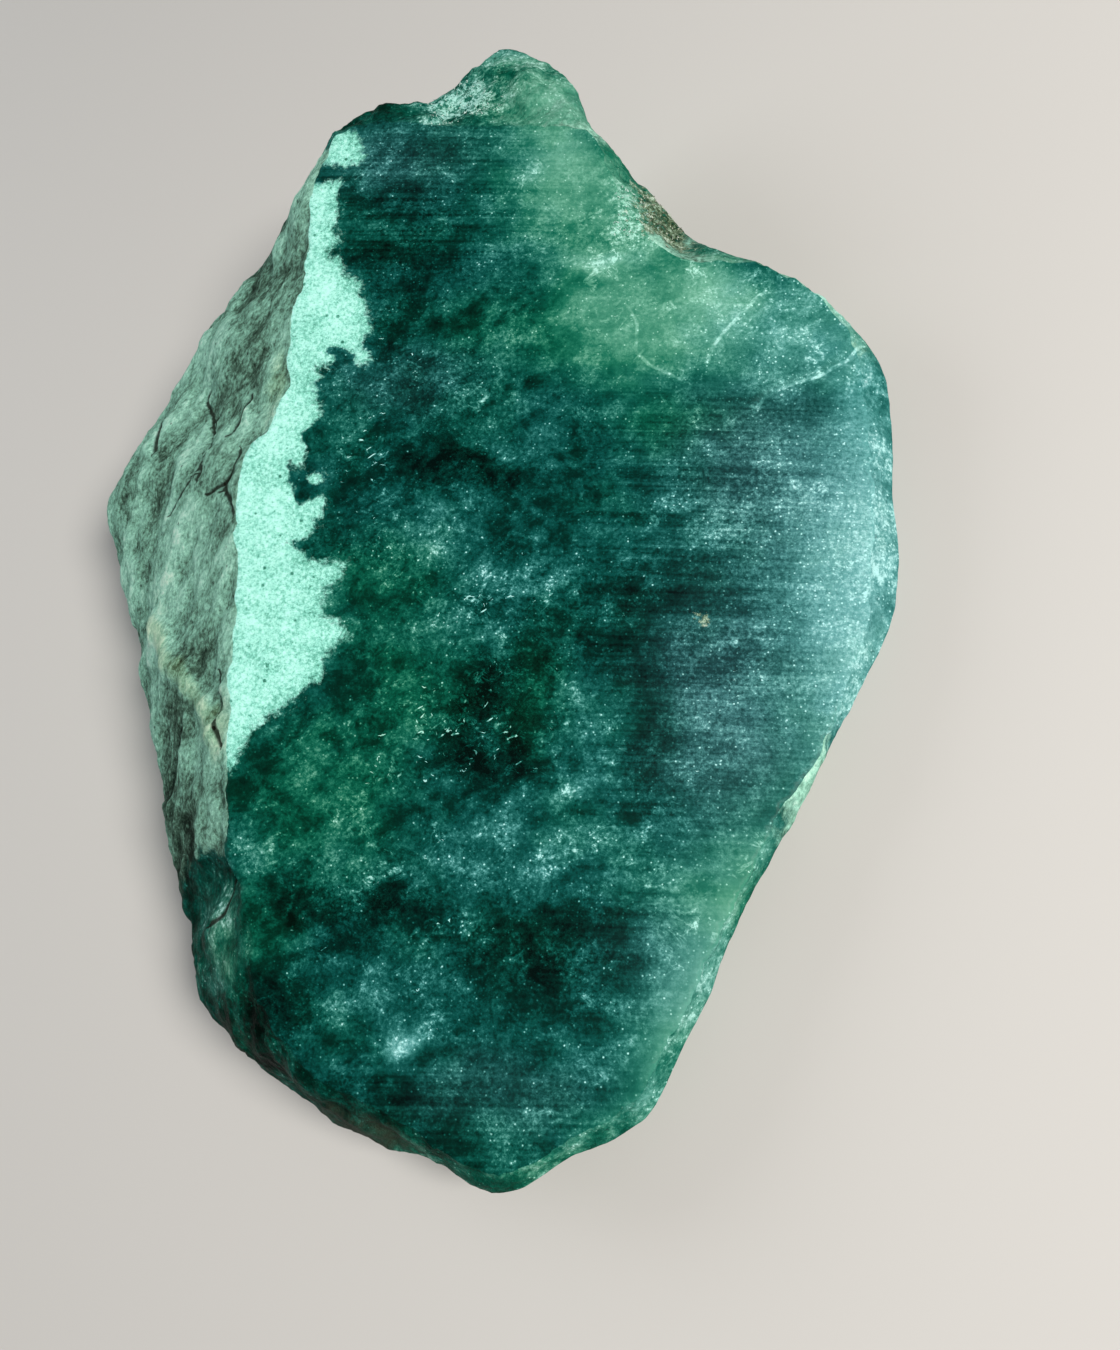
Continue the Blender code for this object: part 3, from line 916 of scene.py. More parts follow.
    def fibres(self, bench: ShaderBench) -> Value:
        """Bright crystals and hair-fine curls inside the jade, gathered in swarms.

        Args:
            bench: the material's tree.

        Returns:
            What they add to the jade's lightness.
        """
        swarm = bench.noise(bench.place, 7.0, 3.0, 0.6).step(0.48, 0.62)
        thick = bench.attribute("needles") + bench.attribute("crystal") * 0.6
        curls = bench.ridges(bench.turned(bench.place, 38.0, 2.0), 2.4, 4.0)
        curls = curls * bench.noise(bench.place, 2.2, 2.0, 0.6).step(0.52, 0.60)
        hairs = bench.ridges(bench.turned(bench.place, -25.0, 1.8, (9.0, 4.0, 0.0)), 1.3, 3.0)
        hairs = hairs * bench.noise(bench.place, 1.6, 2.0, 0.6).step(0.54, 0.60)
        needles = self.glints(bench, swarm * 0.10 + thick * 0.56) * 0.84
        crowd = swarm * 0.7 + thick + bench.attribute("haze") * 0.5
        needles = needles * (bench.noise(bench.place, 1.7, 2.0, 0.6).step(0.42, 0.60) * 0.75 + 0.25)
        return needles + (curls * 0.26 + hairs * 0.24) * crowd

    def streaks(self, bench: ShaderBench) -> Value:
        """The light and dark lines that the saw left, strongest on the thin side.

        Args:
            bench: the material's tree.

        Returns:
            What they add to the stone's lightness.
        """
        cut = bench.attribute("cut")
        line = bench.node("ShaderNodeCombineXYZ", None,
                          {0: bench.axis(bench.place, 0) * 0.035, 1: cut}).outputs[0]
        broad = bench.noise(line, 3.4, 2.0, 0.6) - 0.5
        fine = bench.noise(line, 1.05, 2.0, 0.6) - 0.5
        hair = bench.noise(line, 0.42, 1.0, 0.5) - 0.5
        lines = broad * 0.40 + fine * 0.46 + hair * 0.32
        return lines * bench.attribute("streaked")

    def glints(self, bench: ShaderBench, crowding: Value) -> Value:
        """Small bright needles inside the jade, lying several ways.

        Args:
            bench: the material's tree.
            crowding: how much more often than elsewhere they occur, from 0 to 1.

        Returns:
            Up to 1 on a needle and 0 off it.
        """
        total: Value | None = None
        bend = (bench.noise(bench.place, 2.0, 3.0, 0.7) - 0.5) * 2.2
        bent = bench.node("ShaderNodeCombineXYZ", None, {0: bend, 1: bend}).outputs[0]
        bent = bench.vector("ADD", bench.place, bent)
        kinds = ((8.0, 5.5, 0.95, 0.12, 0.97), (-14.0, 4.5, 0.80, 0.13, 0.98),
                 (38.0, 6.5, 0.95, 0.11, 0.99), (-62.0, 3.5, 0.75, 0.12, 1.02),
                 (70.0, 4.5, 0.90, 0.11, 1.02))
        for row, (degrees, stretch, size, width, rarity) in enumerate(kinds):
            where = bench.turned(bent, degrees, stretch, (7.0 * row, 3.0 * row, 0.0))
            away, lot = bench.cells(where, size, "2D")
            chosen = ((lot + crowding - rarity).clamped() * 4.0).clamped()
            needle = ((chosen * width - away) * (2.6 / width)).clamped()
            total = needle if total is None else total.maths("MAXIMUM", needle)
        return total

    def veins(self, bench: ShaderBench) -> Value:
        """The thin pale lines of healed cracks, and a painted highlight along the lip of the
        stepped crack.
        """
        broken = bench.noise(bench.place, 1.4, 2.0, 0.6).step(0.42, 0.60)
        broken = broken * 0.7 + 0.3
        # the stepped crack's line is a painted highlight on its lip
        return bench.line("vein", 0.34) * broken * 0.16 + bench.line("step", 0.36) * broken * 0.26


@dataclass(frozen=True)
class RustStain:
    """The mottled brown, dark and whitish crust in the pit."""

    crust: Stops = (
        (0.00, (0.008, 0.020, 0.010)),
        (0.28, (0.062, 0.082, 0.038)),
        (0.50, (0.165, 0.245, 0.150)),
        (0.72, (0.340, 0.480, 0.350)),
        (1.00, (0.680, 0.770, 0.650)),
    )
    mottle_strength: float = 3.2
    fleck_strength: float = 1.8
    base_level: float = 0.35

    def over(self, bench: ShaderBench, colour: bpy.types.NodeSocket) -> bpy.types.NodeSocket:
        """Lay the crust over a colour.

        Args:
            bench: the material's tree.
            colour: the colour under it.

        Returns:
            The mixed colour.
        """
        mottle = bench.noise(bench.place, 1.5, 6.0, 0.80)
        flecks = bench.noise(bench.place, 0.45, 3.0, 0.8) - 0.5
        level = (mottle - 0.5) * self.mottle_strength + flecks * self.fleck_strength
        level = (level + self.base_level).clamped()
        rust = bench.attribute("rust")
        amount = (rust + (mottle - 0.5) * 3.0).step(0.38, 0.70) * rust.step(0.04, 0.30)
        return bench.mix(amount * 0.9, colour, bench.ramp(level, self.crust))


@dataclass(frozen=True)
class SawnJade:
    """The frosted sawn face: clean jade with a mint band along the rind."""

    body: JadeBody = JadeBody()
    stain: RustStain = RustStain()
    mint: Stops = (
        (0.00, (0.030, 0.180, 0.120)),
        (0.35, (0.170, 0.540, 0.420)),
        (0.65, (0.360, 0.820, 0.690)),
        (1.00, (0.540, 0.970, 0.870)),
    )
    roughness: float = 0.34
    glow_depth: float = 1.2          # how far light travels inside, in millimetres

    def material(self) -> bpy.types.Material:
        """Build the material.

        Returns:
            The finished material.
        """
        bench = ShaderBench("sawn_jade")
        spot = bench.place
        specks = bench.noise(spot, 0.46, 3.0, 0.75)
        stone = self.stain.over(bench, self.body.colour(bench, specks))
        mint = bench.ramp(self.mint_grain(bench), self.mint)
        colour = bench.mix(self.band(bench), stone, mint)
        shine = bench.noise(spot, 0.9, 2.0, 0.6)
        roughness = shine * 0.14 + (self.roughness - 0.07)
        height = specks * 0.6 + bench.noise(spot, 1.6, 3.0, 0.6) * 0.4
        constants = {"Subsurface Weight": 0.18, "Subsurface Scale": self.glow_depth * MM,
                     "Subsurface Radius": (0.5, 1.0, 0.8), "IOR": 1.6,
                     "Specular IOR Level": 0.04}
        varied = {"Base Color": colour, "Roughness": roughness,
                  "Normal": bench.bump(height, 0.05)}
        return bench.finish(bench.surface(constants, varied))

    def band(self, bench: ShaderBench) -> Value:
        """Where the mint band is.

        Args:
            bench: the material's tree.

        Returns:
            1 in the band and 0 outside it.
        """
        ragged = (bench.noise(bench.place, 2.8, 6.0, 0.80, 0.6) - 0.5) * 6.0
        nibbles = (bench.noise(bench.place, 0.8, 3.0, 0.75) - 0.5) * 2.0
        return (bench.attribute("mint") + ragged + nibbles).step(-0.75, 0.45)

    def mint_grain(self, bench: ShaderBench) -> Value:
        """How light the mint band is, from its darkest specks to its chalky lumps."""
        fine = (bench.noise(bench.place, 0.55, 4.0, 0.85) - 0.5) * 2.6
        patches = (bench.noise(bench.place, 4.0, 3.0, 0.6) - 0.5) * 0.8
        edge = bench.attribute("mint").step(2.6, -0.5) * 0.20
        away, lot = bench.cells(bench.place, 1.3)
        pores = away.step(0.26, 0.10) * lot.step(0.72, 0.78) * 0.55
        return (fine + patches - edge - pores + 0.66).clamped()


@dataclass(frozen=True)
class RiverRind:
    """The natural outside: grey-green weathered rind, worn to clean jade in places."""

    body: JadeBody = JadeBody()
    stain: RustStain = RustStain()
    weathered: Stops = (
        (0.00, (0.012, 0.026, 0.018)),
        (0.25, (0.065, 0.135, 0.095)),
        (0.50, (0.205, 0.440, 0.330)),
        (0.75, (0.380, 0.740, 0.580)),
        (1.00, (0.620, 0.880, 0.740)),
    )
    # painted warm highlight: the light yellow-green of the rind where it catches the light
    warm_highlight: Stops = (
        (0.00, (0.026, 0.040, 0.018)),
        (0.28, (0.105, 0.190, 0.100)),
        (0.55, (0.280, 0.520, 0.340)),
        (1.00, (0.660, 0.860, 0.620)),
    )
    brown: Colour = (0.050, 0.058, 0.040)
    # painted shadow inside the rind's cracks; the pits are darkened with it too
    crack: Colour = (0.012, 0.013, 0.008)
    lie: Point3 = (-0.42, -0.85, -0.32)      # the rind's leaves run this way
    roughness: float = 0.62

    def material(self) -> bpy.types.Material:
        """Build the material.

        Returns:
            The finished material.
        """
        bench = ShaderBench("river_rind")
        spot = bench.place
        leaves = bench.noise(bench.drawn_out(spot, self.lie, 1.7), 2.4, 8.0, 0.72, 0.7)
        fine = bench.noise(bench.drawn_out(spot, self.lie, 1.3), 0.6, 3.0, 0.75)
        broad = bench.noise(spot, 9.0, 4.0, 0.65) - 0.5
        level = (leaves - 0.5) * 0.8 + (fine - 0.5) * 1.25 + broad * 0.95 + 0.51
        # painted shade: darker in the relief's hollows and lighter on its raised plates, and darker
        # again under the dark patches
        level = level + (bench.attribute("relief") - 0.5) * 0.55 - bench.attribute("dark") * 0.30
        # painted warm highlight: the lit crests and rib are lighter
        level = level + bench.attribute("warm_highlight") * 0.21
        colour, fresh = self.skins(bench, level.clamped(), leaves, fine)
        holes = self.holes(bench)
        # painted shadow: a dark line inside the cracks, and the pits darkened
        lines = bench.line("crack", 0.55) * leaves.step(0.10, 0.34)
        dark = lines * 0.92 + holes * (1.0 - fresh) * 0.75
        colour = bench.mix(dark.clamped(), colour, self.crack)
        height = (leaves - 0.5) * 1.2 + (fine - 0.5) * 0.7 - holes * 0.4
        roughness = fine * 0.2 - fresh * 0.20 + (self.roughness - 0.1)
        constants = {"IOR": 1.4, "Specular IOR Level": 0.02}
        varied = {"Base Color": colour, "Roughness": roughness,
                  "Normal": bench.bump(height, 0.45)}
        return bench.finish(bench.surface(constants, varied))

    def skins(self, bench: ShaderBench, level: Value, leaves: Value,
              fine: Value) -> tuple[bpy.types.NodeSocket, Value]:
        """Colour each kind of skin.

        Args:
            bench: the material's tree.
            level: how light the rind is.
            leaves: the rind's leafy grain.
            fine: its finest grain.

        Returns:
            The colour, and where the rind is worn to clean jade.
        """
        soft = (leaves - 0.5) * 1.0
        colour = bench.ramp(level, self.weathered)
        # painted warm highlight laid over the weathered rind
        warm_highlight = (bench.attribute("warm_highlight") + soft * 1.1).step(0.26, 0.90) * 0.85
        colour = bench.mix(warm_highlight, colour, bench.ramp(level, self.warm_highlight))
        fresh = (bench.attribute("worn") + soft).step(0.26, 0.52)
        colour = bench.mix(fresh, colour, self.body.colour(bench, fine))
        film = bench.attribute("brown")
        film = (film + soft * 1.5).step(0.25, 0.85) * film.step(0.04, 0.30) * 0.6
        colour = bench.mix(film, colour, self.brown)
        return self.stain.over(bench, colour), fresh

    def holes(self, bench: ShaderBench) -> Value:
        """Small dark pits scattered over the rind."""
        away, lot = bench.cells(bench.place, 2.0)
        return away.step(0.16, 0.05) * lot.step(0.62, 0.66)


@dataclass(frozen=True)
class TinyCrystal:
    """Small shiny crystals that stand on the stone."""

    name: str
    dark: Colour
    light: Colour
    roughness: float = 0.30

    def material(self) -> bpy.types.Material:
        """Build the material.

        Returns:
            The finished material.
        """
        bench = ShaderBench(self.name)
        patches = bench.noise(bench.place, 1.1, 2.0, 0.6).step(0.38, 0.60)
        colour = bench.mix(patches, self.dark, self.light)
        shine = bench.noise(bench.place, 0.4, 1.0, 0.5) * 0.2 + (self.roughness - 0.1)
        constants = {"IOR": 1.6, "Specular IOR Level": 0.4}
        return bench.finish(bench.surface(constants, {"Base Color": colour, "Roughness": shine}))


@dataclass(frozen=True)
class PaleFloor:
    """A plain pale paper sweep."""

    colour: Colour = (0.62, 0.60, 0.57)
    roughness: float = 0.8

    def material(self) -> bpy.types.Material:
        """Build the material.

        Returns:
            The finished material.
        """
        bench = ShaderBench("pale_floor")
        return bench.finish(bench.surface({"Base Color": (*self.colour, 1.0),
                                           "Roughness": self.roughness}, {}))


# ======================================================================
# The stone
# ======================================================================
@dataclass
class SawnPlane:
    """The plane of the sawn face, in millimetres: z = height + fall * x + rise * y."""

    height: float
    fall: float
    rise: float

    @classmethod
    def of(cls, corners: np.ndarray) -> "SawnPlane":
        """Lay the plane through points.

        Args:
            corners: points on the face, in millimetres.

        Returns:
            The plane.
        """
        rows = np.column_stack([np.ones(len(corners)), corners[:, 0], corners[:, 1]])
        height, fall, rise = np.linalg.lstsq(rows, corners[:, 2], rcond=None)[0]
        return cls(float(height), float(fall), float(rise))

    @property
    def normal(self) -> Vector:
        """The face's outward direction."""
        return Vector((-self.fall, -self.rise, 1.0)).normalized()

    def level(self, x: np.ndarray, y: np.ndarray) -> np.ndarray:
        """The plane's height over points of the plan."""
        return self.height + self.fall * x + self.rise * y


@dataclass
class SawMarks:
    """The saw's parallel marks, which fan and bow slightly over the face."""

    lean: float = 0.066           # their slope on the plan at the middle
    fan: float = 0.0011           # how much the slope changes for a millimetre of Y
    bow: float = 0.0004

    def across(self, x: np.ndarray, y: np.ndarray) -> np.ndarray:
        """The place across the marks, in millimetres."""
        return y - self.lean * x + self.fan * x * y + self.bow * x * x


@dataclass
class JadeStone:
    """The dressed stone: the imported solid, smoothed, with marks, grain and colour laid on it."""

    name: str = "jade_stone"
    smooth_levels: int = 2
    face_grid: Point2 = (1.15, 0.33)      # spacing of the sawn face's points, along and across
    saw_pitch: float = 2.2
    saw_depth: float = 0.05
    fine_pitch: float = 0.8
    fine_depth: float = 0.02
    grain_size: float = 4.5
    grain_depth: float = 0.55
    grain_stretch: float = 1.8
    flake_size: float = 1.8
    flake_depth: float = 0.24
    plate_size: float = 6.5               # the rind breaks into plates of this size
    plate_depth: float = 0.85
    rib_width: float = 3.0
    rib_height: float = 0.9
    ground_clearance: float = 1.2         # the relief fades out below this height
    crack_depth: float = 0.28
    crack_width: float = 0.9
    split_width: float = 0.85
    split_depth: float = 0.5              # the rind's cracks are deeper
    chip_size: float = 2.2                # the rim is broken away in chips of this size
    chip_reach: float = 0.45
    bite_size: float = 5.5                # along the rind it also wanders in longer bites
    bite_reach: float = 1.3
    box_margin: float = 0.02              # the relief stays this far inside the solid's box
    glass_shade: float = 0.29             # how much each skin lightens or darkens the side: painted glow on the clear skins, painted shade on the dark one
    teal_shade: float = 0.13
    dark_shade: float = 0.13
    fresh_shade: float = 0.05
    painted_glow_overlap: float = 3.0             # the painted glow of the thin edge reaches this far past the rim
    clear_side_damping: float = 0.9       # the clear skins carry painted glow already, so the edge's painted glow is weaker there
    seed: float = 3.0
    marks: SawMarks = field(default_factory=SawMarks)

    def build(self) -> bpy.types.Object:
        """Make the stone.

        Returns:
            The finished piece, a plain mesh at the origin.
        """
        shell = self.smoothed(self.opened())
        self.close_face(shell)
        self.chip_rim(shell)
        stone = bpy.data.objects.new(self.name, shell)
        bpy.context.scene.collection.objects.link(stone)
        self.measure(shell)
        relief = StoneRelief(self)
        relief.carve(stone, SawnJade().material(), RiverRind().material())
        self.hold_in_box(stone.data)
        for polygon in stone.data.polygons:
            polygon.use_smooth = True
        return stone

    def hold_in_box(self, mesh: bpy.types.Mesh) -> None:
        """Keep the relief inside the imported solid's box.

        Args:
            mesh: the carved mesh, which is changed in place.
        """
        solid = self.places(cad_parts[NODE].data)
        margin = np.array([self.box_margin, self.box_margin, 0.0])
        place = np.clip(self.places(mesh), solid.min(axis=0) + margin, solid.max(axis=0) - margin)
        mesh.vertices.foreach_set("co", (place * MM).ravel())

    def opened(self) -> bpy.types.Mesh:
        """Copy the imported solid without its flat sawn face.

        Returns:
            The open shell, mostly of four-sided faces.
        """
        work = bmesh.new()
        work.from_mesh(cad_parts[NODE].data)
        bmesh.ops.remove_doubles(work, verts=work.verts, dist=WELD_GAP * MM)
        self.plane = self.find_plane(work)
        normal = self.plane.normal
        level = self.plane.level
        flat = [face for face in work.faces
                if face.normal.dot(normal) > SAME_WAY
                and all(abs(v.co.z / MM - level(v.co.x / MM, v.co.y / MM)) < PLANE_GAP
                        for v in face.verts)]
        bmesh.ops.delete(work, geom=flat, context="FACES")
        bmesh.ops.join_triangles(work, faces=work.faces, angle_face_threshold=math.pi,
                                 angle_shape_threshold=math.pi)
        shell = bpy.data.meshes.new("stone_shell")
        work.to_mesh(shell)
        work.free()
        return shell

    def find_plane(self, work: bmesh.types.BMesh) -> SawnPlane:
        """Find the sawn face: the largest set of faces that look one way.

        Args:
            work: the whole solid.

        Returns:
            The plane through them.
        """
        upward = [face for face in work.faces if face.normal.z > UPWARD]
        largest = max(upward, key=lambda face: face.calc_area())
        same = [face for face in upward if face.normal.dot(largest.normal) > SAME_WAY]
        corners = np.array([v.co for face in same for v in face.verts]) / MM
        facing = np.array(largest.normal)
        gaps = corners @ facing - np.array(largest.verts[0].co) @ facing / MM
        nearby = np.abs(gaps) < PLANE_SPREAD
        return SawnPlane.of(corners[nearby])

    def smoothed(self, shell: bpy.types.Mesh) -> bpy.types.Mesh:
        """Subdivide the open shell.

        Args:
            shell: the coarse shell.

        Returns:
            The fine shell.
        """
        carrier = bpy.data.objects.new("stone_carrier", shell)
        bpy.context.scene.collection.objects.link(carrier)
        smoother = carrier.modifiers.new("smooth", "SUBSURF")
        smoother.levels = self.smooth_levels
        smoother.render_levels = self.smooth_levels
        graph = bpy.context.evaluated_depsgraph_get()
        fine = bpy.data.meshes.new_from_object(carrier.evaluated_get(graph))
        bpy.data.objects.remove(carrier)
        return fine

    def close_face(self, shell: bpy.types.Mesh) -> None:
        """Fill the sawn face with a fine grid that runs along the saw marks.

        Args:
            shell: the open shell, which is closed in place.
        """
        work = bmesh.new()
        work.from_mesh(shell)
        rim = self.rim_of(work)
        outline = np.array([v.co[:2] for v in rim]) / MM
        self.outline = outline
        grid = self.face_points(outline)
        count = len(rim)
        flat = [Vector(p) for p in np.vstack([outline, grid])]
        edges = [(i, (i + 1) % count) for i in range(count)]
        points, _, triangles, origins, _, _ = delaunay_2d_cdt(
            flat, edges, [list(range(count))], 1, 1e-6)
        corner = []
        for point, origin in zip(points, origins):
            if origin and origin[0] < count:
                corner.append(rim[origin[0]])
                continue
            height = self.plane.level(point.x, point.y)
            corner.append(work.verts.new((point.x * MM, point.y * MM, float(height) * MM)))
        sawn = work.faces.layers.float.new("sawn_face")
        for triangle in triangles:
            a, b, c = (points[i] for i in triangle)
            turn = (b - a).cross(c - a)
            order = triangle if turn > 0 else triangle[::-1]
            face = work.faces.new([corner[i] for i in order])
            face[sawn] = 1.0
        work.to_mesh(shell)
        work.free()

    def rim_of(self, work: bmesh.types.BMesh) -> list[bmesh.types.BMVert]:
        """Walk round the opening.

        Args:
            work: the open shell.

        Returns:
            The opening's vertices in order.
        """
        border = [edge for edge in work.edges if edge.is_boundary]
        first = border[0].verts[0]
        loop = [first]
        edge, vert = border[0], border[0].verts[1]
        while vert is not first:
            loop.append(vert)
            edge = next(e for e in vert.link_edges if e.is_boundary and e is not edge)
            vert = edge.other_vert(vert)
        return loop

    def face_points(self, outline: np.ndarray) -> np.ndarray:
        """Lay the sawn face's inner points.

        Args:
            outline: the face's rim on the plan, in millimetres.

        Returns:
            The points inside it, in rows along the saw marks.
        """
        along, across = self.face_grid
        low, high = outline.min(axis=0), outline.max(axis=0)
        marks = self.marks
        columns = np.arange(low[0], high[0], along)
        rows = np.arange(low[1] - 10.0, high[1] + 10.0, across)
        x, v = np.meshgrid(columns, rows)
        x = x + along * 0.5 * (np.arange(len(rows)) % 2)[:, None]
        y = (v + marks.lean * x - marks.bow * x * x) / (1.0 + marks.fan * x)
        points = np.column_stack([x.ravel(), y.ravel()])
        points = points[inside(points, outline)]
        return points[distance_to_path(points, outline, closed=True) > across]

    def chip_rim(self, shell: bpy.types.Mesh) -> None:
        """Break the rim of the sawn face into small chips, within its plane.

        Args:
            shell: the closed shell, which is changed in place.
        """
        normal = np.array(self.plane.normal)
        rim = np.column_stack([self.outline, self.plane.level(*self.outline.T)])
        place = self.places(shell)
        edge = distance_to_path(place, rim[::2], closed=True)
        share = eased(edge, self.chip_size * 1.4, 0.0)
        bites = eased(place[:, 0], -6.0, -12.0) * self.bite_reach
        for row in np.flatnonzero(share > 0.0):
            spot = place[row] / self.chip_size
            push = np.array(noise.noise_vector(spot))
            push = push + 0.5 * np.array(noise.noise_vector(spot * 2.7))
            push *= self.chip_reach
            push += np.array(noise.noise_vector(place[row] / self.bite_size)) * bites[row]
            place[row] += (push - normal * (push @ normal)) * share[row]
        shell.vertices.foreach_set("co", (place * MM).ravel())

    def places(self, shell: bpy.types.Mesh) -> np.ndarray:
        """The mesh's points, in millimetres."""
        place = np.zeros(len(shell.vertices) * 3)
        shell.vertices.foreach_get("co", place)
        return place.reshape(-1, 3) / MM

    def measure(self, shell: bpy.types.Mesh) -> None:
        """Write on each point what the relief and the finishes need to know there.

        Args:
            shell: the closed shell.
        """
        place = self.places(shell)
        plan = place[:, :2]
        on_face = self.points_on_face(shell)
        rim = np.column_stack([self.outline, self.plane.level(*self.outline.T)])
        edge = distance_to_path(place, rim[::2], closed=True)
        ragged = warped(warped(plan, 7.0, 2.2, 1.0), 2.4, 1.0, 5.0)
        frayed = warped(plan, 1.8, 1.6, 6.0)
        values = self.cloud_values(ragged)
        values.update(self.skin_values(place))
        band = (*BAND_BORDER, *BAND_OUTSIDE)
        values["mint"] = np.maximum(signed_distance(plan, band), signed_distance(plan, TOP_PATCH))
        for middle, radius in BAND_WINDOWS:
            away = np.linalg.norm(frayed - np.array(middle), axis=1) / radius
            values["mint"] -= 4.0 * np.exp(-away**2)
        values["cut"] = self.marks.across(plan[:, 0], plan[:, 1])
        values["sawn"] = on_face * eased(edge, 0.0, 0.9)
        values["natural"] = (1.0 - on_face) * eased(edge, 0.0, 2.0)
        values["natural"] *= eased(place[:, 2], 0.1, self.ground_clearance)
        values["natural"] *= 1.0 - 0.75 * np.maximum(values["teal"], values["glass"])
        values["worn"] = np.maximum.reduce([values["fresh"], values["glass"], values["teal"]])
        # painted glow from the clear skins and painted shade from the dark patches, on the natural
        # side only
        values["shade"] = (self.glass_shade * values["glass"] + self.teal_shade * values["teal"]
                           - self.dark_shade * values["dark"])
        values["shade"] += self.fresh_shade * values["fresh"]
        values["shade"] *= 1.0 - on_face
        rib = distance_to_path(ragged * 0.5 + plan * 0.5, np.array(RIND_RIB))
        values["rib"] = eased(rib, self.rib_width, 0.0) * (place[:, 2] > 4.0) * (1.0 - on_face)
        # the raised rib carries the painted warm highlight
        values["warm_highlight"] = np.maximum(values["warm_highlight"], values["rib"] * 0.9)
        values["streaked"] = self.streak_values(plan)
        values["streaked"] *= on_face
        clear = np.maximum(values["glass"] * 0.8, values["fresh"] * 0.5) * (1.0 - on_face)
        values["green"] = np.maximum(values["green"], clear)
        # painted glow: the light that comes through the thin edge, painted into the colour and
        # greener at the foot
        near_face = np.maximum(on_face, eased(edge, self.painted_glow_overlap, 0.8))
        values["thin"] = self.painted_glow_values(plan, edge) * (0.3 + 0.7 * near_face)
        clear_side = np.maximum(values["glass"], values["teal"]) * (1.0 - on_face)
        values["thin"] *= 1.0 - self.clear_side_damping * clear_side
        values["green"] = np.maximum(values["green"], values["thin"] * 0.8 * (plan[:, 1] < -20.0))
        values["vein"] = np.minimum.reduce(
            [distance_to_path(ragged * 0.15 + plan * 0.85, np.array(path)) for path in VEINS])
        values["vein_side"] = offset_from_paths(ragged * 0.15 + plan * 0.85, VEINS)
        values["step"] = distance_to_path(plan, np.array(STEPPED_CRACK))
        values["step_side"] = offset_from_paths(plan, (STEPPED_CRACK,))
        values["crack"] = np.minimum.reduce(
            [distance_to_path(ragged * 0.3 + plan * 0.7, np.array(path)) for path in RIND_CRACKS])
        values["crack"] += 50.0 * (place[:, 2] < 4.0)
        values["crack_side"] = offset_from_paths(ragged * 0.3 + plan * 0.7, RIND_CRACKS)
        for name, numbers in values.items():
            layer = shell.attributes.new(name, "FLOAT", "POINT")
            layer.data.foreach_set("value", np.ascontiguousarray(numbers, np.float32))

    def points_on_face(self, shell: bpy.types.Mesh) -> np.ndarray:
        """Tell the sawn face's points from the rest.

        Args:
            shell: the closed shell.

        Returns:
            1 for each point of the sawn face, and 0 for the others.
        """
        mask = np.zeros(len(shell.vertices))
        flags = np.zeros(len(shell.polygons), np.float32)
        shell.attributes["sawn_face"].data.foreach_get("value", flags)
        for polygon in shell.polygons:
            if flags[polygon.index] > 0.5:
                mask[list(polygon.vertices)] = 1.0
        return mask

    def cloud_values(self, ragged: np.ndarray) -> dict[str, np.ndarray]:
        """Add up the clouds of each tone.

        Args:
            ragged: the plan, pushed about.

        Returns:
            A value between 0 and 1 for each tone and point.
        """
        clear = {tone: np.ones(len(ragged)) for tone in Tone}
        for cloud in CLOUDS:
            clear[cloud.tone] *= 1.0 - np.clip(cloud.weight(ragged), 0.0, 1.0)
        return {tone.value: 1.0 - left for tone, left in clear.items()}

    def skin_values(self, place: np.ndarray) -> dict[str, np.ndarray]:
        """Add up the patches of each skin.

        Args:
            place: the points in millimetres.

        Returns:
            A value between 0 and 1 for each skin and point.
        """
        ragged = warped(warped(place, 9.0, 3.0, 8.0), 2.5, 1.0, 2.0)
        clear = {skin: np.ones(len(place)) for skin in Skin}
        for patch in SKIN_PATCHES:
            clear[patch.skin] *= 1.0 - np.clip(patch.weight(ragged), 0.0, 1.0)
        return {skin.value: 1.0 - left for skin, left in clear.items()}

    def streak_values(self, plan: np.ndarray) -> np.ndarray:
        """How strongly the saw lines show: most on the thin side, at the top and at the foot."""
        side = eased(plan[:, 0], 18.0, 36.0) * eased(plan[:, 1], 26.0, 16.0)
        side *= 0.55 + 0.45 * eased(plan[:, 1], -45.0, -25.0)
        top = eased(plan[:, 1], 30.0, 40.0) * eased(plan[:, 0], 22.0, 6.0) * 0.75
        foot = eased(plan[:, 1], -60.0, -68.0) * 0.75
        return np.clip(np.maximum.reduce([side, top, foot]) + 0.15, 0.0, 1.0)

    def painted_glow_values(self, plan: np.ndarray, edge: np.ndarray) -> np.ndarray:
        """How much light comes through the thin edge, painted into the colour as a glow.

        Args:
            plan: the points on the plan.
            edge: their distance from the rim of the sawn face.

        Returns:
            A value between 0 and 1 for each point.
        """
        side = eased(plan[:, 0], 36.0, 54.0) * eased(plan[:, 1], 34.0, 26.0)
        low = eased(plan[:, 0], 27.0, 42.0) * eased(plan[:, 1], -24.0, -42.0)
        reach = 1.4 + 5.8 * low + 4.0 * side
        return np.clip(np.maximum(side * 0.45, low), 0.0, 1.0) * np.exp(-edge / reach)


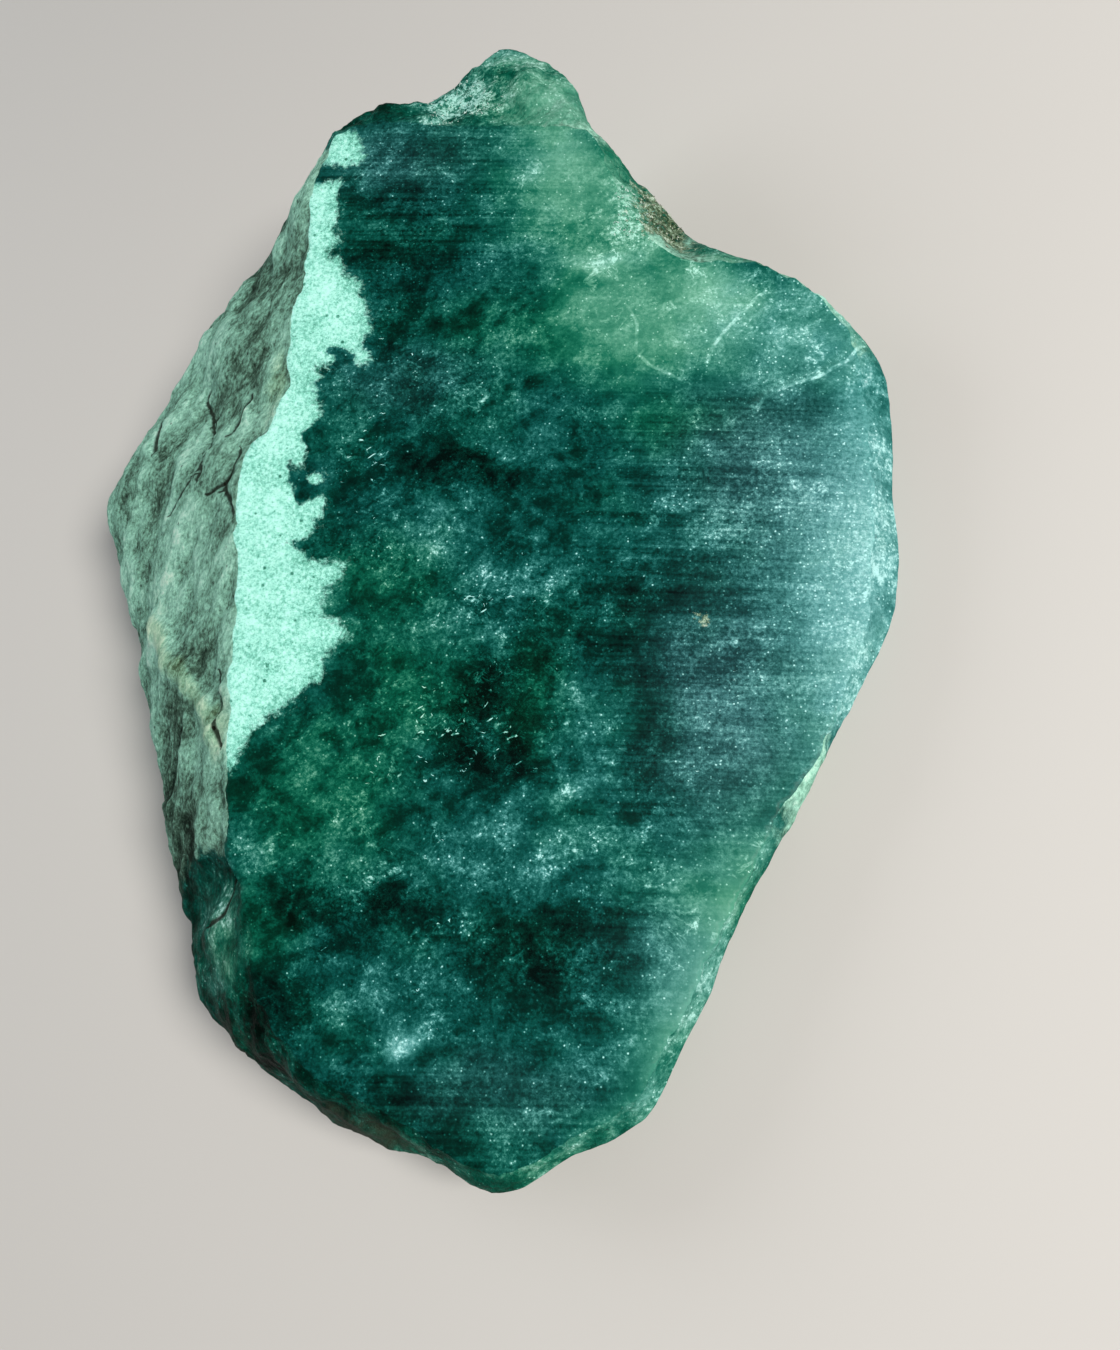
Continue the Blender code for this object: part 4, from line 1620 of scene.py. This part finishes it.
class StoneRelief:
    """A Geometry Nodes tree that cuts the saw marks and the rind's grain into the stone."""

    def __init__(self, stone: JadeStone) -> None:
        """Take the sizes from the stone.

        Args:
            stone: the stone's sizes.
        """
        self.stone = stone
        self.sizes = {
            "Saw pitch": stone.saw_pitch, "Saw depth": stone.saw_depth,
            "Fine pitch": stone.fine_pitch, "Fine depth": stone.fine_depth,
            "Grain size": stone.grain_size, "Grain depth": stone.grain_depth,
            "Flake size": stone.flake_size, "Flake depth": stone.flake_depth,
            "Plate size": stone.plate_size, "Plate depth": stone.plate_depth,
            "Rib height": stone.rib_height,
            "Crack width": stone.crack_width, "Crack depth": stone.crack_depth,
            "Split width": stone.split_width, "Split depth": stone.split_depth,
            "Seed": stone.seed,
        }

    def carve(self, piece: bpy.types.Object, face: bpy.types.Material,
              rind: bpy.types.Material) -> None:
        """Run the tree on the piece and keep its result as a plain mesh.

        Args:
            piece: the stone.
            face: the sawn face's material.
            rind: the natural outside's material.
        """
        tree = bpy.data.node_groups.new("stone_relief", "GeometryNodeTree")
        tree.interface.new_socket("Geometry", in_out="INPUT", socket_type="NodeSocketGeometry")
        tree.interface.new_socket("Geometry", in_out="OUTPUT", socket_type="NodeSocketGeometry")
        known = {name: tree.interface.new_socket(name, in_out="INPUT",
                                                 socket_type="NodeSocketFloat")
                 for name in self.sizes}
        known |= {name: tree.interface.new_socket(name, in_out="INPUT",
                                                  socket_type="NodeSocketMaterial")
                  for name in ("Face finish", "Rind finish")}
        self.wire(Bench(tree))
        modifier = piece.modifiers.new("relief", "NODES")
        modifier.node_group = tree
        for name, value in {**self.sizes, "Face finish": face, "Rind finish": rind}.items():
            modifier[known[name].identifier] = value
        graph = bpy.context.evaluated_depsgraph_get()
        carved = bpy.data.meshes.new_from_object(piece.evaluated_get(graph))
        piece.modifiers.remove(modifier)
        piece.data = carved

    def wire(self, bench: Bench) -> None:
        """Lay out the nodes.

        Args:
            bench: the empty tree.
        """
        entry = bench.node("NodeGroupInput").outputs
        spot = bench.vector("SCALE", bench.node("GeometryNodeInputPosition").outputs[0], 1.0 / MM)
        sawn = self.read(bench, "sawn")
        cut = bench.node("ShaderNodeCombineXYZ", None, {
            0: self.part(bench, spot, 0) * 0.03, 1: self.read(bench, "cut"), 2: entry["Seed"]})
        coarse = self.waves(bench, cut.outputs[0], entry["Saw pitch"], 1.0)
        coarse = coarse * Value(bench, entry["Saw depth"])
        fine = self.waves(bench, cut.outputs[0], entry["Fine pitch"], 1.0)
        marks = coarse + fine * Value(bench, entry["Fine depth"])
        groove = self.read(bench, "step") / Value(bench, entry["Crack width"])
        groove = groove.step(1.0, 0.0) * Value(bench, entry["Crack depth"])
        face_lift = (marks - groove) * sawn
        lie = bench.drawn_out(spot, RiverRind.lie, self.stone.grain_stretch)
        coarse = self.waves(bench, lie, entry["Grain size"], 3.0)
        flakes = self.waves(bench, lie, entry["Flake size"], 3.0)
        rind_lift = coarse * Value(bench, entry["Grain depth"])
        rind_lift = rind_lift + flakes * Value(bench, entry["Flake depth"])
        plates = self.plates(bench, lie, entry["Plate size"])
        rind_lift = rind_lift + plates * Value(bench, entry["Plate depth"])
        rind_lift = rind_lift + self.read(bench, "rib") * Value(bench, entry["Rib height"])
        split = (self.read(bench, "crack") / Value(bench, entry["Split width"])).step(1.0, 0.0)
        rind_lift = rind_lift - split * Value(bench, entry["Split depth"])
        rind_lift = rind_lift * self.read(bench, "natural")
        # the relief's height is kept for the rind's painted shade
        relief = (coarse * 0.4 + flakes * 0.35 + plates * 0.5) + 0.5
        kept = bench.node("GeometryNodeStoreNamedAttribute",
                          {"data_type": "FLOAT", "domain": "POINT"},
                          {"Geometry": entry["Geometry"], "Name": "relief", "Value": relief})
        normal = bench.node("GeometryNodeInputNormal").outputs[0]
        flat = tuple(self.stone.plane.normal)
        lift = bench.vector("ADD", bench.vector("SCALE", flat, face_lift * MM),
                            bench.vector("SCALE", normal, rind_lift * MM))
        moved = bench.node("GeometryNodeSetPosition", None,
                           {"Geometry": kept.outputs[0], "Offset": lift})
        real = bench.node("GeometryNodeRealizeInstances", None, {0: moved.outputs[0]})
        rind = bench.node("GeometryNodeSetMaterial", None,
                          {"Geometry": real.outputs[0], "Material": entry["Rind finish"]})
        is_sawn = bench.node("FunctionNodeCompare",
                             {"data_type": "FLOAT", "operation": "GREATER_THAN"},
                             {0: self.read(bench, "sawn_face"), 1: 0.5})
        face = bench.node("GeometryNodeSetMaterial", None, {
            "Geometry": rind.outputs[0], "Selection": is_sawn.outputs[0],
            "Material": entry["Face finish"]})
        bench.node("NodeGroupOutput", None, {0: face.outputs[0]})

    def read(self, bench: Bench, name: str) -> Value:
        """A number that the mesh carries."""
        made = bench.node("GeometryNodeInputNamedAttribute", {"data_type": "FLOAT"}, {0: name})
        return Value(bench, made.outputs[0])

    def part(self, bench: Bench, vector: bpy.types.NodeSocket, place: int) -> Value:
        """One number of a vector."""
        return Value(bench, bench.node("ShaderNodeSeparateXYZ", None, {0: vector}).outputs[place])

    def plates(self, bench: Bench, where: bpy.types.NodeSocket,
               size: bpy.types.NodeSocket) -> Value:
        """Uneven plates with eased steps between them.

        Args:
            bench: the tree.
            where: coordinates in millimetres.
            size: the size of a plate in millimetres.

        Returns:
            A height between about -0.5 and 0.5.
        """
        scale = Value(bench, size).maths("POWER", -1.0)
        made = bench.node("ShaderNodeTexVoronoi", {"feature": "SMOOTH_F1"},
                          {"Vector": where, "Scale": scale, "Smoothness": 0.22})
        lot = bench.node("ShaderNodeSeparateXYZ", None, {0: made.outputs["Color"]}).outputs[0]
        return Value(bench, lot) - 0.5

    def waves(self, bench: Bench, where: bpy.types.NodeSocket, size: bpy.types.NodeSocket,
              detail: float) -> Value:
        """Noise between about -1 and 1.

        Args:
            bench: the tree.
            where: coordinates in millimetres.
            size: the size of its features in millimetres.
            detail: the number of finer layers.

        Returns:
            The noise.
        """
        scale = Value(bench, size).maths("POWER", -1.0)
        made = bench.node("ShaderNodeTexNoise", None,
                          {"Vector": where, "Scale": scale, "Detail": detail, "Roughness": 0.6})
        return (Value(bench, made.outputs[0]) - 0.5) * 3.0


@dataclass
class CrystalCrust:
    """Small crystals strewn over one kind of skin by a Geometry Nodes tree."""

    name: str
    skin: Skin
    finish: TinyCrystal
    threshold: float                  # the skin's strength from which crystals grow
    density: float                    # crystals for a square millimetre
    length: float                     # in millimetres
    width: float
    least: float = 0.45               # the smallest crystal's share of the full size
    sides: int = 5
    seed: int = 4

    def build(self, stone: bpy.types.Object) -> bpy.types.Object:
        """Strew the crystals.

        Args:
            stone: the finished stone.

        Returns:
            The finished piece, a plain mesh at the origin.
        """
        crust = bpy.data.objects.new(self.name, self.ground(stone.data))
        bpy.context.scene.collection.objects.link(crust)
        tree, known = self.tree()
        modifier = crust.modifiers.new("strewn", "NODES")
        modifier.node_group = tree
        settings = {"Density": self.density / MM**2, "Length": self.length * MM,
                    "Width": self.width * MM, "Least size": self.least, "Sides": self.sides,
                    "Seed": self.seed, "Finish": self.finish.material()}
        for label, value in settings.items():
            modifier[known[label]] = value
        graph = bpy.context.evaluated_depsgraph_get()
        strewn = bpy.data.meshes.new_from_object(crust.evaluated_get(graph))
        crust.modifiers.remove(modifier)
        crust.data = strewn
        return crust

    def ground(self, mesh: bpy.types.Mesh) -> bpy.types.Mesh:
        """Copy the faces that the crystals stand on.

        Args:
            mesh: the stone's mesh.

        Returns:
            A mesh of those faces alone.
        """
        strength = np.zeros(len(mesh.vertices), np.float32)
        mesh.attributes[self.skin.value].data.foreach_get("value", strength)
        faces = [tuple(p.vertices) for p in mesh.polygons
                 if strength[list(p.vertices)].min() > self.threshold]
        used = sorted({corner for face in faces for corner in face})
        place = {old: new for new, old in enumerate(used)}
        ground = bpy.data.meshes.new(self.name + "_ground")
        ground.from_pydata([mesh.vertices[old].co for old in used], [],
                           [[place[corner] for corner in face] for face in faces])
        return ground

    def tree(self) -> tuple[bpy.types.NodeTree, dict[str, str]]:
        """Build the tree that strews the crystals.

        Returns:
            The tree, and each named input's identifier.
        """
        tree = bpy.data.node_groups.new(self.name + "_strewn", "GeometryNodeTree")
        new_socket = tree.interface.new_socket
        new_socket("Geometry", in_out="INPUT", socket_type="NodeSocketGeometry")
        new_socket("Geometry", in_out="OUTPUT", socket_type="NodeSocketGeometry")
        kinds = {"Density": "Float", "Length": "Float", "Width": "Float", "Least size": "Float",
                 "Sides": "Int", "Seed": "Int", "Finish": "Material"}
        known = {name: new_socket(name, in_out="INPUT", socket_type="NodeSocket" + kind).identifier
                 for name, kind in kinds.items()}
        bench = Bench(tree)
        entry = bench.node("NodeGroupInput").outputs
        strewn = bench.node("GeometryNodeDistributePointsOnFaces", None, {
            "Mesh": entry["Geometry"], "Density": entry["Density"], "Seed": entry["Seed"]})
        crystal = bench.node("GeometryNodeMeshCone", {"fill_type": "TRIANGLE_FAN"}, {
            "Vertices": entry["Sides"], "Radius Top": 0.0, "Radius Bottom": entry["Width"],
            "Depth": entry["Length"]})
        size = self.chance(bench, "FLOAT", entry["Least size"], 1.0, entry["Seed"], 2)
        lean = self.chance(bench, "FLOAT_VECTOR", (-1.0, -1.0, -3.0), (1.0, 1.0, 3.0),
                           entry["Seed"], 0)
        leaning = bench.node("FunctionNodeEulerToRotation", None, {0: lean})
        turned = bench.node("FunctionNodeRotateRotation", {"rotation_space": "LOCAL"}, {
            "Rotation": strewn.outputs["Rotation"], "Rotate By": leaning.outputs[0]})
        grown = bench.node("GeometryNodeInstanceOnPoints", None, {
            "Points": strewn.outputs["Points"], "Instance": crystal.outputs["Mesh"],
            "Rotation": turned.outputs[0], "Scale": size})
        real = bench.node("GeometryNodeRealizeInstances", None, {0: grown.outputs[0]})
        dressed = bench.node("GeometryNodeSetMaterial", None, {
            "Geometry": real.outputs[0], "Material": entry["Finish"]})
        bench.node("NodeGroupOutput", None, {0: dressed.outputs[0]})
        return tree, known

    def chance(self, bench: Bench, kind: str, low: object, high: object,
               seed: bpy.types.NodeSocket, place: int) -> bpy.types.NodeSocket:
        """A random number or vector for each crystal.

        Args:
            bench: the tree.
            kind: the node's data type.
            low: the least value.
            high: the greatest value.
            seed: the random seed.
            place: the first of the node's sockets for this type.

        Returns:
            The random value.
        """
        made = bench.node("FunctionNodeRandomValue", {"data_type": kind},
                          {place: low, place + 1: high, "Seed": seed})
        return made.outputs[0 if kind == "FLOAT_VECTOR" else 1]


# ======================================================================
# Studio
# ======================================================================
@dataclass
class Studio:
    """A pale floor, soft lights and the camera."""

    camera_place: Point3 = (76.67, -55.93, 130.55)
    camera_right: Point3 = (0.91647, 0.12532, -0.37997)
    camera_down: Point3 = (0.0, -0.94968, -0.31322)
    lens: float = 28.8
    floor_half: float = 1500.0
    key_direction: Point3 = (0.74, -0.10, 0.66)
    key_distance: float = 700.0
    key_size: float = 260.0
    key_power: float = 5.7
    fill_power: float = 1.8
    sky: float = 0.17

    def build(self) -> None:
        """Set up the floor, the lights, the world and the camera."""
        self.lay_floor()
        middle = Vector((0.0, 0.0, 12.0))
        self.hang_light("key", middle, Vector(self.key_direction), self.key_size, self.key_power,
                        (1.0, 0.97, 0.93))
        self.hang_light("fill", middle, Vector((-0.9, 0.2, 0.45)), 500.0, self.fill_power,
                        (0.93, 0.97, 1.0))
        self.light_world()
        self.place_camera()

    def lay_floor(self) -> None:
        """Make the floor."""
        half = self.floor_half * MM
        floor = bpy.data.meshes.new("floor")
        corners = [(-half, -half, 0.0), (half, -half, 0.0), (half, half, 0.0), (-half, half, 0.0)]
        floor.from_pydata(corners, [], [(0, 1, 2, 3)])
        floor.materials.append(PaleFloor().material())
        carpet = bpy.data.objects.new("floor", floor)
        bpy.context.scene.collection.objects.link(carpet)

    def hang_light(self, name: str, target: Vector, direction: Vector, size: float,
                   power: float, tint: Colour) -> None:
        """Hang a soft light that faces the stone.

        Args:
            name: the light's name.
            target: what it faces, in millimetres.
            direction: from the target to the light.
            size: its width in millimetres.
            power: in watts.
            tint: its colour.
        """
        lamp = bpy.data.lights.new(name, "AREA")
        lamp.shape = "DISK"
        lamp.size = size * MM
        lamp.energy = power
        lamp.color = tint
        holder = bpy.data.objects.new(name, lamp)
        away = direction.normalized()
        holder.location = (target + away * self.key_distance) * MM
        holder.rotation_euler = away.to_track_quat("Z", "Y").to_euler()
        bpy.context.scene.collection.objects.link(holder)

    def light_world(self) -> None:
        """Give the room an even, faint light."""
        world = bpy.data.worlds.new("room")
        world.use_nodes = True
        backdrop = next(n for n in world.node_tree.nodes if n.type == "BACKGROUND")
        backdrop.inputs["Color"].default_value = (0.90, 0.95, 1.0, 1.0)
        backdrop.inputs["Strength"].default_value = self.sky
        bpy.context.scene.world = world

    def place_camera(self) -> None:
        """Set the camera up and turn the view to it."""
        lens = bpy.data.cameras.new("view")
        lens.sensor_width = 36.0
        lens.sensor_fit = "AUTO"
        lens.lens = self.lens
        lens.clip_start = 0.005
        right, up = Vector(self.camera_right), -Vector(self.camera_down)
        back = right.cross(up)
        turn = Matrix((right, up, back)).transposed()
        holder = bpy.data.objects.new("view", lens)
        holder.matrix_world = Matrix.Translation(Vector(self.camera_place) * MM) @ turn.to_4x4()
        bpy.context.scene.collection.objects.link(holder)
        bpy.context.scene.camera = holder
        bpy.context.scene.view_settings.view_transform = "Standard"


def report_piece(piece: bpy.types.Object) -> None:
    """Log a piece's size.

    Args:
        piece: a finished piece.
    """
    corners = np.array([v.co for v in piece.data.vertices]) / MM
    size = np.ptp(corners, axis=0)
    triangles = sum(len(p.vertices) - 2 for p in piece.data.polygons)
    LOG.info("%s: %.1f x %.1f x %.1f mm, %d triangles", piece.name, *size, triangles)


def main() -> None:
    """Build the stone and the studio."""
    logging.basicConfig(level=logging.INFO, format="%(name)s: %(message)s")
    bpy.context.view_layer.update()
    noise.seed_set(NOISE_SEED)
    stone = JadeStone()
    piece = stone.build()
    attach(piece, BODY)
    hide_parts(NODE)
    report_piece(piece)
    brown = TinyCrystal("pit_crystal", (0.090, 0.085, 0.045), (0.560, 0.640, 0.520))
    milky = TinyCrystal("milky_crystal", (0.180, 0.380, 0.320), (0.650, 0.850, 0.780))
    crusts = (CrystalCrust("pit_crystals", Skin.RUST, brown, 0.55, 0.9, 0.40, 0.15),
              CrystalCrust("milky_crystals", Skin.CRYSTAL, milky, 0.30, 1.2, 0.50, 0.10))
    for crust in crusts:
        grown = crust.build(piece)
        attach(grown, BODY)
        report_piece(grown)
    Studio().build()


if __name__ == "__main__":
    main()
